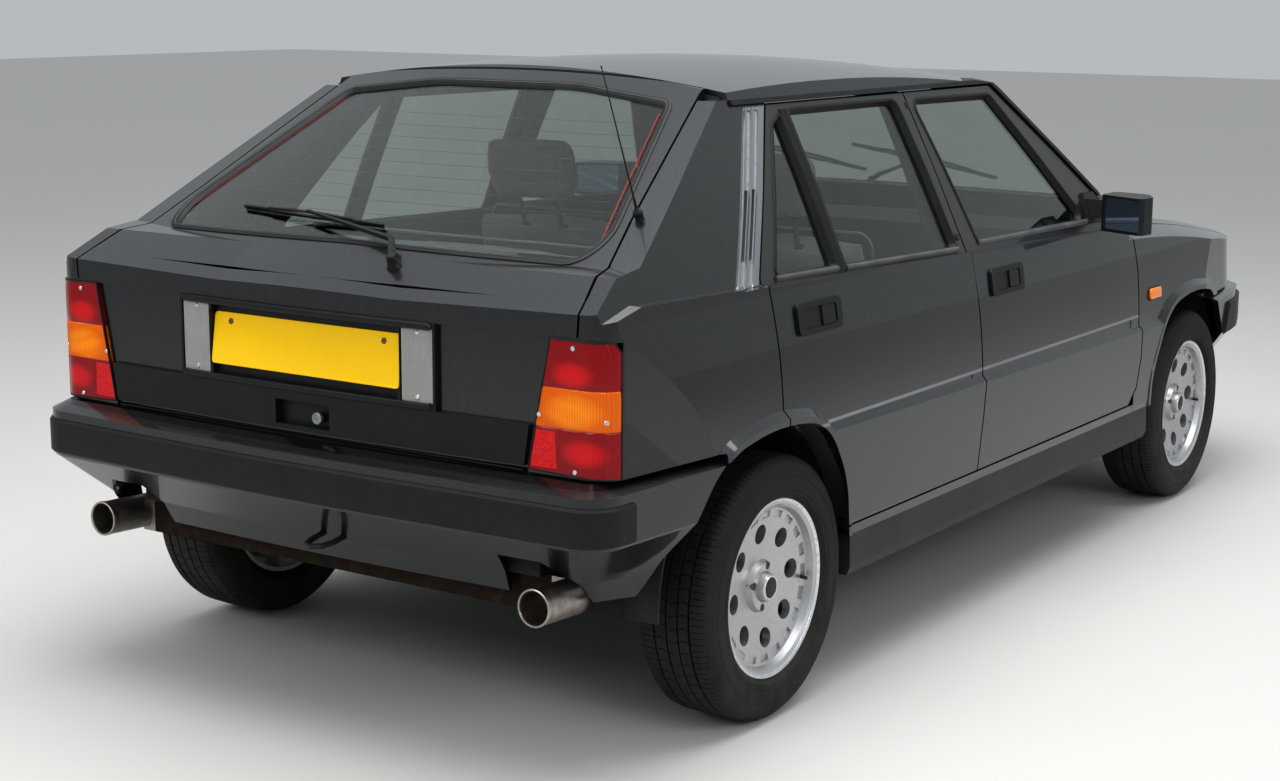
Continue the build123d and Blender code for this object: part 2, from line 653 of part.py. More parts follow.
# Both front seats: cushion, back and runners
def seats():
    solid = None
    for side in SIDES:
        y = 356 * side
        cushion = Pos(*at(1130, y, 390)) * Rotation(0, -8, 0) * Box(500, 470, 130)
        back = Pos(*at(820, y, 690)) * Rotation(0, -20, 0) * Box(110, 465, 560)
        head = Pos(*at(660, y, 1075)) * Rotation(0, -16, 0) * Box(80, 250, 150)
        base = box(960, 1330, y - 190, y + 190, 240.3, 330)
        posts = rod((714, y - 60, 900), (668, y - 60, 1060), 6)
        posts = posts + rod((714, y + 60, 900), (668, y + 60, 1060), 6)
        one = cushion + back + head + base + posts
        solid = one if solid is None else solid + one
    return solid


# Rear bench: cushion and back
def bench():
    cushion = Pos(*at(425, 0, 434)) * Rotation(0, -6, 0) * Box(460, 1080, 150)
    back = Pos(*at(60, 0, 715)) * Rotation(0, -22, 0) * Box(110, 1080, 560)
    foot = box(200, 325, -400, 400, 330.3, 380)
    return cushion + back + foot


# Parts that a wheel turns on, at a front wheel and steered with it
def knuckle():
    x = 2475.0
    solid = upright(x, STEER_AXIS_Y, 200, 380, 20) + crosswise(x, WHEEL_Z, STEER_AXIS_Y, WHEEL_Y + 14, 32)
    solid = solid + crosswise(x, WHEEL_Z, WHEEL_Y + 14, WHEEL_Y + 44, 20)
    solid = solid + crosswise(x, WHEEL_Z, 640, 652, 118) + box(x - 112, x - 60, 622, 668, 240, 340)
    solid = solid + upright(x, STEER_AXIS_Y, 380, 620, 20) - upright(x, STEER_AXIS_Y, 560, 621, 12.05)
    return solid


# Rear hub carrier on its arm
def rear_hub():
    x = 0.0
    solid = crosswise(x, WHEEL_Z, 566, WHEEL_Y + 14, 32)
    solid = solid + crosswise(x, WHEEL_Z, WHEEL_Y + 14, WHEEL_Y + 44, 20)
    solid = solid + crosswise(x, WHEEL_Z, 640, 652, 118) + box(x - 112, x - 60, 622, 668, 240, 340)
    solid = solid + box(x - 25, x + 25, 120, 575, 258, 284) + upright(x, 583, 300, 620, 16)
    top = wheel_hole(ARCH_STATIONS[0], ARCH_RADIUS + 5, 500, 800)
    return solid + (upright(x, 583, 600, 700, 10) & top)


# Arms, struts and rear differential
def suspension():
    x = 2475.0
    top = wheel_hole(ARCH_STATIONS[1], ARCH_RADIUS + 36, 400, 800)
    strut = upright(x, STEER_AXIS_Y, 566, 700, 12) & top
    arm = box(x - 25, x + 25, 424, 612, 176, 199.7)
    solid = both(rear_hub()) + both(strut) + both(arm)
    return solid + box(-110, 110, -125, 125, 215, 365) + box(-60, 60, -80, 80, 365, 400)


# Engine and gearbox as one closed mass
def engine():
    solid = box(2280, 2700, -300, 300, 330, 740)
    for side in SIDES:
        solid = solid + pick(side, box(2450, 2500, 290, 372, 350, 395))
    return solid


# Shaft from the gearbox to the rear differential
def driveline():
    solid = rod((150, 0, 285), (2300, 0, 300), 32) + rod((110, 0, 285), (150, 0, 285), 24)
    solid = solid - box(2280, 2700, -300, 300, 330, 740) - box(2280, 2400, -90, 90, 200, 400)
    return solid


# Pipe run, silencer and the two pairs of tips
def exhaust():
    solid = None
    for side in SIDES:
        tip = rod((-616, 605 * side, 366), (-440, 605 * side, 358), 38)
        tip = tip - rod((-620, 605 * side, 366.2), (-500, 605 * side, 360.7), 34)
        solid = tip if solid is None else solid + tip
    solid = solid + box(-500, -400, -600, 600, 318, 398)
    solid = solid + rod((-405, 180, 350), (-130, 180, 200), 22) + rod((-130, 180, 200), (1900, 180, 190), 22)
    return solid + box(-470, -450, -30, 30, 395, 400)


# Dashboard from door to door
def dashboard():
    solid = side_prism([(1720, 640), (1935, 560), (1935, 880), (1800, 905), (1700, 880)], -680, 680)
    solid = solid + side_prism([(1660, 850), (1800, 850), (1800, 925), (1690, 930)], 200, 500)
    column = rod((1720, 350, 770), (1560, 350, 845), 30) - rod((1600, 350, 826.25), (1500, 350, 873.1), 12.3)
    return solid + column


STEERING_CENTRE = (1500.0, 350.0, 873.125)
STEERING_WAY = (-160.0, 0.0, 75.0)


# Steering wheel on its column
def steering_wheel():
    centre = Vector(*at(*STEERING_CENTRE))
    plane = Plane(origin=centre, z_dir=Vector(*STEERING_WAY).normalized())
    ring = Torus(182, 14)
    hub = Pos(0, 0, -14) * Cylinder(50, 36)
    spokes = Pos(0, 0, -10) * Box(350, 44, 12) + Pos(-90, 0, -10) * Box(170, 40, 12)
    shaft = Pos(0, 0, -60) * Cylinder(12, 100)
    return plane * (ring + hub + spokes + shaft)


# Black skirts under both sills
def sill_skirts():
    rows = [(772, 250), (795, 250), (803, 270), (801, 344.8), (772, 344.8)]
    return both(end_prism(rows, 300, 2112))


# Gutter bands along both roof edges
def drip_rails():
    rows = [(150, 1298), (1456, 1298), (1868, 975), (1880, 983), (1462, 1309), (150, 1309)]
    band = side_prism(rows, 480, 900)
    return both((glasshouse(-6) - glasshouse(0)) & band)


TRIM = [(565, 640), (577, 722), (352, 722), (352, 898)]
PLATE_LEAN = 8.6


# Black panel under the tailgate lip with the plate well and the latch recess
def gate_trim():
    whole = (flank(-5) - flank(26)) & end_prism(two_sided(TRIM), -700, -540)
    lamp = box(-700, -540, 264, 346, 734, 888)
    lean = Pos(*at(-592, 0, 812)) * Rotation(0, PLATE_LEAN, 0)
    plate = lean * Pos(-15, 0, 0) * Box(30, 524, 115)
    well = end_prism(two_sided([(256, 733), (256, 890)]), -700, -540) - flank(9)
    latch = box(-700, -540, -76, 74, 650, 702) - flank(14)
    trim = whole - plate - both(lamp) - well - latch
    lock = rod((-606, -42, 672), (-585, -42, 672), 11)
    lens = (flank(-1) - flank(12)) & both(lamp)
    back = (flank(12) - flank(26)) & both(lamp)
    board = lean * Pos(-1.5, 0, 0) * Box(3, 520, 111)
    return trim + back + lock, lens, board


# A spot on the windscreen, a distance out from it
def on_screen(y, z, out):
    x = SCREEN_FOOT[0] - (z - SCREEN_FOOT[1]) * 492.0 / 367.0 - y * y / 7200.0
    return (x + out * 0.6, y, z + out * 0.8)


# Flush pull handle: a raised frame with a recess behind a flap
def handle(x, z):
    def block(x0, x1, z0, z1, r):
        return side_prism([(x0, z0, r), (x1, z0, r), (x1, z1, r), (x0, z1, r)], 700, 900)
    pad = (flank(-7) - flank(0)) & block(x - 95, x + 95, z - 34, z + 34, 14)
    hollow = (flank(-8) - flank(-2)) & block(x - 72, x + 72, z - 22, z + 22, 8)
    flap = (flank(-6) - flank(-2)) & block(x + 10, x + 66, z - 21, z + 21, 4)
    return pad - hollow + flap


# Door mirror: housing turned outwards, foot on the window corner, and the mirror plate in its pocket
def mirror_parts():
    def spot(t, depth):
        return (1705 - 0.426 * t + 0.905 * depth, 796 + 0.905 * t + 0.426 * depth)
    rows = [(1705, 796, 10), (1640, 934, 14), (1706, 942, 26), (1780, 902, 34), (1804, 796, 16)]
    shell = plan_prism(rows, 897, 996)
    pocket = [spot(10, -8), spot(142, -8), spot(142, 9), spot(10, 9)]
    face = [spot(10.2, 4), spot(141.8, 4), spot(141.8, 9), spot(10.2, 9)]
    shell = shell - plan_prism(pocket, 905, 989)
    rows = [(1742, 912), (1762, 990), (1830, 990), (1890, 912)]
    foot = (glasshouse(-9) - glasshouse(0)) & side_prism(rows, 600, 900)
    arm = side_prism([(1752, 925), (1808, 925), (1800, 972), (1762, 975)], 716, 800) - glasshouse(0)
    return shell + foot + arm, plan_prism(face, 905.2, 988.8)


# Every piece of the car by name
def shapes():
    out = {}
    outer, shells = body_shells()
    glass = glasshouse(12) - glasshouse(12 + GLASS_THICKNESS)
    pane = glasshouse(6) - glasshouse(11)

    gate_block = end_prism(two_sided(GATE), -900, GATE_FRONT) & slope_prism(two_sided(GATE_EDGE))
    gate_hole = end_prism(two_sided([(y + 5, z) for y, z in GATE]), -900, ROOF_REAR)
    backlight = end_prism(two_sided(BACKLIGHT), -900, 400)
    screen_hole = end_prism(two_sided(SCREEN), 1300, 2300)
    trim_hole = end_prism(two_sided(TRIM), -700, -540) - flank(26)
    rear_face = end_prism(two_sided([(684, 600), (684, 897)]), -700, -540) - flank(6)
    out["tailgate"] = (shells["gate"] & gate_block) - backlight - trim_hole - rear_face
    out["tailgate_trim"], out["reverse_lamps"], out["number_plate"] = gate_trim()
    out["tailgate_glass"] = pane & gate_block & backlight
    out["windscreen"] = pane & screen_hole
    roof_zone = box(ROOF_REAR, 1700, -700, 700, 1308, 1500) + box(ROOF_REAR, 1700, -480, 480, 1250, 1500)
    out["roof_panel"] = (shells["thin"] & roof_zone) - screen_hole

    openings = leaning_prism(grown(FRONT_DOOR, PANEL_GAP)) + leaning_prism(grown(REAR_DOOR, PANEL_GAP))
    openings = openings + box(1950, 1996, 774, 840, 367, 420)
    left = body_side(shells["side"], openings, gate_hole, screen_hole)
    pieces = {"body_side": left, "front_wing": wing(shells["thin"])}
    vents = (glasshouse(-4) - glasshouse(20)) & side_prism(VENT, 480, 900)
    lamps = (flank(-3) - flank(40)) & end_prism(LAMP, -900, -540)
    lamps = lamps & box(-900, -545, 0, 900, 300, 1000)
    for name in ("front", "rear"):
        pieces["door_" + name] = door(shells["door"], name)
        pieces["glass_" + name] = door_panes(glass, name)
    for name, shape in pieces.items():
        out[name + "_left"] = shape
        out[name + "_right"] = flip(shape)
    out["pillar_vents"] = both(vents)
    out["tail_lamps"] = both(lamps)
    out["bonnet"] = bonnet()
    out["nose_panel"] = nose(shells["thin"])
    scuttle_zone = box(1850, 2012, -640, 640, 800, 965) + box(1988, 2012, -687, 687, 800, 965)
    out["scuttle"] = (shells["side"] & scuttle_zone) - screen_hole - left - flip(left)
    out["rear_bumper"] = rear_bumper()
    out["front_bumper"] = front_bumper()
    levels = [(507, 5), (512, 9), (579, 9), (585, 5)]
    strips = strip(rear_bumper_rows, levels, [(-700, 500), (-530, 500), (-530, 590), (-700, 590)])
    levels = [(466, 6), (472, 12), (558, 12), (564, 6)]
    strips = strips + strip(front_bumper_rows, levels, [(2779, 460), (3300, 460), (3300, 570), (2837, 570)])
    out["rubber_strips"] = strips + drip_rails()
    makers = {"floor_pan": floor_pan, "bulkhead": bulkhead, "wheel_liners": wheel_liners,
              "suspension": suspension, "engine_block": engine, "driveline": driveline, "exhaust": exhaust,
              "dashboard": dashboard, "steering_wheel": steering_wheel, "sill_skirts": sill_skirts}
    for name, make in makers.items():
        out[name] = make()
    out["front_seats"] = seats()
    grille = box(3060, 3066, -690, 690, 613.3, 722) & lower_body(ROOF_THICKNESS)
    for i in range(6):
        slat = box(3066, 3160, -338, 338, 622 + 15 * i, 627 + 15 * i)
        grille = grille + (slat & leaning_nose(10))
    out["grille"] = grille
    lamp_faces = None
    for y, face in ((598, 3096), (440, 3110)):
        one = rod((3066.2, y, 662), (face, y, 662), 46)
        lamp_faces = one if lamp_faces is None else lamp_faces + one
    out["headlamps"] = both(lamp_faces)
    aerial = rod((-266, -616, 1084), (-281, -614, 1112), 9) + rod((-280, -614, 1108), (-416, -622, 1399), 2)
    out["aerial"] = aerial - glasshouse(0)
    hub = rod((-496, -178, 950), (-514, -178, 993), 13)
    swept = rod((-509, -178, 987), (-492, -134, 1016), 7) + rod((-492, -134, 1016), (-396, 160, 1068), 4)
    blade = rod((-408, 385, 1064), (-392, 165, 1069), 4) + rod((-392, 165, 1069), (-424, -55, 1050), 4)
    out["rear_wiper"] = (hub + swept + blade) - glasshouse(0)
    front_wipers = None
    for y in (80, 520):
        one = rod(on_screen(y, 940, -4), on_screen(y, 940, 24), 12)
        one = one + rod(on_screen(y, 940, 18), on_screen(y - 260, 1050, 12), 5)
        one = one + rod(on_screen(y - 480, 1000, 10), on_screen(y - 40, 1090, 10), 5)
        front_wipers = one if front_wipers is None else front_wipers + one
    out["front_wipers"] = front_wipers - glasshouse(0) - lower_body(0)
    for name, x, z in (("rear", 190, 853), ("front", 1148, 825)):
        part = handle(x, z)
        if name == "front":
            case, plate = mirror_parts()
            part = part + case
            out["mirror_glass_left"] = plate
            out["mirror_glass_right"] = flip(plate)
        out["fittings_" + name + "_left"] = part
        out["fittings_" + name + "_right"] = flip(part)
    out["rear_bench"] = bench()
    knee = knuckle()
    wheels = (rim(0.0), tyre(0.0))
    ahead = Pos(2475.0 * LONG, 0, 0)
    for side, name in ((1, "left"), (-1, "right")):
        out["knuckle_" + name] = pick(side, knee)
        for part, shape in zip(("rim", "tyre"), wheels):
            out[part + "_rear_" + name] = pick(side, shape)
            out[part + "_front_" + name] = ahead * pick(side, shape)
    return out


if __name__ == "__main__":
    for name, shape in shapes().items():
        export_step(shape, "parts/" + name + ".step")
        print(name, round(shape.volume / 1e6, 3), len(shape.solids()))
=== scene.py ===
import math

import bmesh
import bpy
from mathutils import Matrix, Vector
from mathutils.bvhtree import BVHTree


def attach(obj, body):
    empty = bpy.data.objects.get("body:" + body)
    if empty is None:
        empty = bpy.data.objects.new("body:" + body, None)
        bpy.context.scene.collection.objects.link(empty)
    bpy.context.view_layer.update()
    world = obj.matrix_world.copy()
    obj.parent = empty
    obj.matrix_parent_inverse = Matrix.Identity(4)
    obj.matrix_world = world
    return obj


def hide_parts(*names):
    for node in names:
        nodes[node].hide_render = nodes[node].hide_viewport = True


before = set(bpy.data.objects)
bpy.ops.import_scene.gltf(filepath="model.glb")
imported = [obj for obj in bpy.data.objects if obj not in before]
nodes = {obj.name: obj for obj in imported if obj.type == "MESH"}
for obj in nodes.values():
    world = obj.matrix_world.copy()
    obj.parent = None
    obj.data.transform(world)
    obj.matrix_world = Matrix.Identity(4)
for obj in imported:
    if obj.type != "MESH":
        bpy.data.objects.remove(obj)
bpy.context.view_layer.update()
rearAxle = -1.2825   # the rear axle's station in the frame, in metres
wheelBase = 2475     # millimetres, as every size of a piece below
sides = {"left": 1, "right": -1}
print("frame loaded:", len(nodes), "nodes")


def newObject(name, data):
    obj = bpy.data.objects.new(name, data)
    bpy.context.scene.collection.objects.link(obj)
    return obj


# a group of shader nodes: a tuple among its inputs is a colour, and so is the output called Colour
def newGroup(name, inputs, outputs):
    group = bpy.data.node_groups.new(name, "ShaderNodeTree")
    for label, value in inputs.items():
        kind = "NodeSocketColor" if isinstance(value, tuple) else "NodeSocketFloat"
        group.interface.new_socket(name=label, in_out="INPUT", socket_type=kind).default_value = value
    for label in outputs:
        kind = "NodeSocketColor" if label == "Colour" else "NodeSocketFloat"
        group.interface.new_socket(name=label, in_out="OUTPUT", socket_type=kind)
    start, end = group.nodes.new("NodeGroupInput"), group.nodes.new("NodeGroupOutput")
    return group, Tree(group), start.outputs, end.inputs


# short names for adding nodes and links to one node tree
class Tree:
    def __init__(self, tree):
        self.tree = tree

    def add(self, kind, **settings):
        node = self.tree.nodes.new(kind)
        for key, value in settings.items():
            setattr(node, key, value)
        return node

    def link(self, a, b):
        self.tree.links.new(a, b)

    def put(self, socket, value):
        if hasattr(value, "is_output"):
            self.link(value, socket)
        else:
            socket.default_value = value

    def math(self, operation, a, b=0.0, c=0.0, clamp=False):
        node = self.add("ShaderNodeMath", operation=operation, use_clamp=clamp)
        for socket, value in zip(node.inputs, (a, b, c)):
            self.put(socket, value)
        return node.outputs[0]

    def times(self, a, b, clamp=False):
        return self.math("MULTIPLY", a, b, clamp=clamp)

    def plus(self, a, b, clamp=False):
        return self.math("ADD", a, b, clamp=clamp)

    def minus(self, a, b):
        return self.math("SUBTRACT", a, b)

    def mix(self, factor, a, b):
        node = self.add("ShaderNodeMix", data_type="RGBA")
        self.put(node.inputs["Factor"], factor)
        self.put(node.inputs[6], a)
        self.put(node.inputs[7], b)
        return node.outputs[2]

    def noise(self, vector, scale, detail=3.0, rough=0.55):
        node = self.add("ShaderNodeTexNoise")
        self.link(vector, node.inputs["Vector"])
        for label, value in (("Scale", scale), ("Detail", detail), ("Roughness", rough)):
            self.put(node.inputs[label], value)
        return node.outputs["Fac"]

    def voronoi(self, vector, scale, feature="F1", output="Distance"):
        node = self.add("ShaderNodeTexVoronoi", feature=feature)
        self.link(vector, node.inputs["Vector"])
        self.put(node.inputs["Scale"], scale)
        return node.outputs[output]

    def wave(self, vector, scale, direction="X", distortion=0.0):
        node = self.add("ShaderNodeTexWave", bands_direction=direction)
        self.link(vector, node.inputs["Vector"])
        self.put(node.inputs["Scale"], scale)
        self.put(node.inputs["Distortion"], distortion)
        return node.outputs["Fac"]

    def ramp(self, value, low, high, first=0.0, last=1.0, smooth=True):
        node = self.add("ShaderNodeMapRange", interpolation_type="SMOOTHSTEP" if smooth else "LINEAR")
        for label, v in zip(("Value", "From Min", "From Max", "To Min", "To Max"),
                            (value, low, high, first, last)):
            self.put(node.inputs[label], v)
        return node.outputs["Result"]

    def xyz(self, vector):
        node = self.add("ShaderNodeSeparateXYZ")
        self.link(vector, node.inputs[0])
        return node.outputs

    def stretch(self, vector, scale=(1, 1, 1)):
        node = self.add("ShaderNodeMapping")
        self.link(vector, node.inputs["Vector"])
        node.inputs["Scale"].default_value = scale
        return node.outputs[0]

    def bump(self, height, strength, distance, normal=None):
        node = self.add("ShaderNodeBump")
        for label, value in (("Height", height), ("Strength", strength), ("Distance", distance)):
            self.put(node.inputs[label], value)
        if normal is not None:
            self.link(normal, node.inputs["Normal"])
        return node.outputs["Normal"]

    def place(self):
        return self.add("ShaderNodeTexCoord").outputs["Object"]


# road dust that thickens towards the ground, with streaks and specks
def makeDustGroup():
    inputs = {"Clean": (0.1, 0.1, 0.1, 1), "Dust Colour": (0.2, 0.18, 0.155, 1), "Amount": 0.4, "Top": 0.6,
              "Clean Roughness": 0.3}
    group, t, given, out = newGroup("roadDust", inputs, ("Colour", "Roughness", "Mask"))
    place = t.place()
    low = t.ramp(t.xyz(place)[2], given["Top"], 0.0)
    cloud = t.times(t.noise(place, 5.0, 5.0, 0.6), 0.7)
    streak = t.times(t.noise(t.stretch(place, (60, 60, 7)), 1.0), 0.3)
    specks = t.ramp(t.noise(place, 420.0, 1.0), 0.63, 0.72)
    film = t.times(low, t.ramp(t.plus(cloud, streak), 0.3, 0.7))
    mask = t.plus(film, t.times(specks, t.times(low, 0.5)), clamp=True)
    mask = t.times(mask, given["Amount"], clamp=True)
    t.link(t.mix(mask, given["Clean"], given["Dust Colour"]), out["Colour"])
    t.link(t.plus(given["Clean Roughness"], t.times(mask, 0.5), clamp=True), out["Roughness"])
    t.link(mask, out["Mask"])
    return group


# moulded grain with faded patches
def makeGrainGroup():
    inputs = {"Base": (0.03, 0.03, 0.03, 1), "Faded": (0.07, 0.07, 0.068, 1), "Grain Scale": 900.0,
              "Fade": 0.5, "Rough": 0.45}
    group, t, given, out = newGroup("mouldGrain", inputs, ("Colour", "Roughness", "Height"))
    place = t.place()
    patch = t.times(t.ramp(t.noise(place, 9.0, 6.0, 0.65), 0.35, 0.75), given["Fade"], clamp=True)
    t.link(t.mix(patch, given["Base"], given["Faded"]), out["Colour"])
    rough = t.plus(given["Rough"], t.times(t.noise(place, 40.0, 3.0), 0.12))
    t.link(t.plus(rough, t.times(patch, 0.12), clamp=True), out["Roughness"])
    t.link(t.voronoi(place, given["Grain Scale"]), out["Height"])
    return group


# fine scratches and stains on bare or painted metal
def makeWearGroup():
    inputs = {"Base": (0.5, 0.5, 0.5, 1), "Stain": (0.2, 0.18, 0.15, 1), "Stain Amount": 0.4,
              "Stain Scale": 60.0, "Rough": 0.3}
    group, t, given, out = newGroup("metalWear", inputs, ("Colour", "Roughness", "Height"))
    place = t.place()
    spots = t.ramp(t.noise(place, given["Stain Scale"], 6.0, 0.7), 0.45, 0.75)
    fine = t.noise(place, 700.0, 2.0, 0.6)
    mask = t.times(spots, given["Stain Amount"], clamp=True)
    t.link(t.mix(mask, given["Base"], given["Stain"]), out["Colour"])
    rough = t.plus(given["Rough"], t.times(mask, 0.35))
    t.link(t.plus(rough, t.times(fine, 0.1), clamp=True), out["Roughness"])
    t.link(t.plus(t.times(spots, 0.5), t.times(fine, 0.5)), out["Height"])
    return group


# the skin's lines that bound the cabin, in metres: side above and below the waist, tail, roof and windscreen
linings = {"depth": 0.02, "waist": (0.905, -0.466, 0.746), "flank": (0.6, -0.16, 0.806), "bulge": 0.158,
           "tail": (1.018, 1.774, -1.7455, 0.012), "crown": (0.6685, -0.0533, -0.147, 1.388),
           "screen": (0.930, -1.3406, -0.1368, 0.7295), "bumper": -1.85}


# 1 on the faces that lie inside the car's skin and line the cabin, 0 on the skin itself
def makeLiningGroup():
    group, t, given, out = newGroup("cabinLining", {"Depth": linings["depth"]}, ("Mask",))
    x, y, z = t.xyz(t.place())
    bow = t.times(y, y)
    base, slope, edge = linings["waist"]
    high = t.math("MULTIPLY_ADD", t.minus(z, base), slope, edge)
    base, slope, edge = linings["flank"]
    low = t.math("MULTIPLY_ADD", t.math("MAXIMUM", t.minus(z, base), 0.0), slope, edge)
    depth = t.minus(t.math("MINIMUM", high, low), t.math("ABSOLUTE", y))
    base, slope, edge, panel = linings["tail"]
    tail = t.math("MULTIPLY_ADD", bow, linings["bulge"],
                  t.math("MULTIPLY_ADD", t.minus(z, base), slope, edge))
    tail = t.minus(t.minus(x, tail), panel)
    middle, fore, across, top = linings["crown"]
    arch = t.plus(x, middle)
    roof = t.math("MULTIPLY_ADD", t.times(arch, arch), fore, t.math("MULTIPLY_ADD", bow, across, top))
    base, slope, across, edge = linings["screen"]
    front = t.math("MULTIPLY_ADD", t.minus(z, base), slope, t.math("MULTIPLY_ADD", bow, across, edge))
    for other in (tail, t.minus(roof, z), t.minus(front, x)):
        depth = t.math("MINIMUM", depth, other)
    inside = t.ramp(t.minus(depth, given["Depth"]), 0.0, 0.001, smooth=False)
    t.link(t.times(inside, t.ramp(x, linings["bumper"], linings["bumper"] + 0.001, smooth=False)),
           out["Mask"])
    return group


groups = {"dust": makeDustGroup(), "grain": makeGrainGroup(), "wear": makeWearGroup(),
          "lining": makeLiningGroup()}


def newMaterial(name, **fixed):
    material = bpy.data.materials.new(name)
    material.use_nodes = True
    shader = material.node_tree.nodes["Principled BSDF"]
    for label, value in fixed.items():
        shader.inputs[label.replace("_", " ")].default_value = value
    return material, Tree(material.node_tree), shader


def fillShader(t, shader, **sockets):
    for label, value in sockets.items():
        t.link(value, shader.inputs[label.replace("_", " ")])


def placeGroup(t, name, **values):
    node = t.add("ShaderNodeGroup")
    node.node_tree = groups[name]
    for label, value in values.items():
        t.put(node.inputs[label.replace("_", " ")], value)
    return node.outputs


paint = {"colour": (0.011, 0.0125, 0.0138, 1), "flake": (0.07, 0.075, 0.082, 1), "flakeScale": 1500.0,
         "metal": 0.75, "dust": 0.09, "dustTop": 0.3, "crease": 0.6195, "creaseWidth": 0.0055,
         "creasePaintedHighlight": (0.3, 0.31, 0.33, 1), "coat": 0.75, "frameBlack": (0.01, 0.01, 0.011, 1),
         "lining": (0.028, 0.027, 0.026, 1), "patch": (0.03, 0.032, 0.034, 1)}


# metallic paint under lacquer; a door's frame is black above the waist line, with a painted highlight in a
# light band along the flank's crease, and faces in the cabin are trim
def makePaint(name, waist=None, lined=False):
    material, t, shader = newMaterial(name, IOR=1.5, Coat_Roughness=0.03, Coat_IOR=1.55)
    place = t.place()
    flakes = t.voronoi(place, paint["flakeScale"], output="Color")
    sparkle = t.times(t.ramp(t.xyz(flakes)[0], 0.55, 1.0), 0.5)
    base = t.mix(sparkle, paint["colour"], paint["flake"])
    base = t.mix(t.times(t.ramp(t.noise(place, 2.2, 2.0), 0.3, 0.7), 0.15), base, paint["patch"])
    dust = placeGroup(t, "dust", Clean=base, Amount=paint["dust"], Top=paint["dustTop"], Clean_Roughness=0.34)
    colour, rough = dust["Colour"], dust["Roughness"]
    metal = t.ramp(dust["Mask"], 0.0, 0.6, paint["metal"], 0.1)
    coat = t.ramp(dust["Mask"], 0.0, 0.6, 1.0, 0.3)
    if waist:
        x, y, z = t.xyz(place)
        line = t.plus(z, t.times(x, waist["slope"]))
        black = t.ramp(line, waist["height"], waist["height"] + 0.001, smooth=False)
        colour = t.mix(black, colour, paint["frameBlack"])
        shown = t.minus(1.0, black)
        metal = t.times(metal, shown)
        coat = t.times(coat, t.ramp(shown, 0.0, 1.0, 0.4, 1.0))
        # painted highlight: a light band of colour along the flank's crease, the shine of the fold painted in
        away = t.math("ABSOLUTE", t.minus(z, paint["crease"]))
        edge = t.ramp(away, paint["creaseWidth"], 0.4 * paint["creaseWidth"], 0.0, 0.75)
        colour = t.mix(edge, colour, paint["creasePaintedHighlight"])
    if lined:
        inside = placeGroup(t, "lining")["Mask"]
        colour = t.mix(inside, colour, paint["lining"])
        metal = t.times(metal, t.minus(1.0, inside))
        coat = t.times(coat, t.minus(1.0, inside))
        rough = t.plus(rough, t.times(inside, 0.4), clamp=True)
    fillShader(t, shader, Metallic=metal, Base_Color=colour, Roughness=rough,
               Coat_Weight=t.times(coat, paint["coat"]))
    # the fold along the flank turns its edge up to the light
    fold = t.ramp(t.xyz(place)[2], paint["crease"] + paint["creaseWidth"],
                  paint["crease"] - paint["creaseWidth"])
    swell = t.bump(t.noise(place, 9.0, 2.0), 0.05, 0.004, t.bump(fold, 1.0, 0.009))
    fillShader(t, shader, Normal=t.bump(t.xyz(flakes)[1], 0.08, 0.0002, swell))
    return material


# a finish under dust, with its own relief
def coverWithDust(t, shader, under, dust, top, bump, distance):
    dirt = placeGroup(t, "dust", Clean=under["Colour"], Amount=dust, Top=top,
                      Clean_Roughness=under["Roughness"])
    fillShader(t, shader, Base_Color=dirt["Colour"], Roughness=dirt["Roughness"],
               Normal=t.bump(under["Height"], bump, distance))


def makePlastic(name, base, faded, scale=900.0, fade=0.5, rough=0.42, dust=0.35, top=0.7, bump=0.25,
                distance=0.0004, **fixed):
    material, t, shader = newMaterial(name, IOR=1.46, Specular_IOR_Level=0.28, **fixed)
    grain = placeGroup(t, "grain", Base=base, Faded=faded, Grain_Scale=scale, Fade=fade, Rough=rough)
    coverWithDust(t, shader, grain, dust, top, bump, distance)
    return material


def makeMetal(name, base, stain, amount=0.4, scale=60.0, rough=0.3, metallic=1.0, bump=0.15, distance=0.0004,
              dust=0.0):
    material, t, shader = newMaterial(name, Metallic=metallic)
    wear = placeGroup(t, "wear", Base=base, Stain=stain, Stain_Amount=amount, Stain_Scale=scale, Rough=rough)
    coverWithDust(t, shader, wear, dust, 0.7, bump, distance)
    return material


# clear glass with a film of dust and faint smears
def makeGlass(name, tint, rough=0.0, film=0.3):
    material, t, shader = newMaterial(name, Transmission_Weight=1.0, IOR=1.45)
    place = t.place()
    smear = t.ramp(t.noise(t.stretch(place, (3, 3, 9)), 1.4, 5.0, 0.6), 0.45, 0.9)
    mask = t.times(smear, film, clamp=True)
    fillShader(t, shader, Base_Color=t.mix(mask, tint, (0.5, 0.5, 0.48, 1)),
               Roughness=t.plus(rough, t.times(mask, 0.04)))
    return material


tailColours = {"red": (0.24, 0.002, 0.006, 1), "amber": (0.72, 0.13, 0.0, 1),
               "redPaintedGlow": (0.62, 0.006, 0.01, 1), "amberPaintedGlow": (0.95, 0.28, 0.004, 1),
               "reflector": (0.7, 0.012, 0.016, 1), "cell": (0.5, 0.005, 0.01, 1),
               "rib": (0.05, 0.01, 0.002, 1), "redFoot": 0.722, "amberTop": 0.801, "reflectorTop": 0.716,
               "reflectorFoot": 0.642,
               "paintedGlows": ((0.676, 0.828, 0.055), (0.676, 0.757, 0.075), (0.7, 0.678, 0.058))}
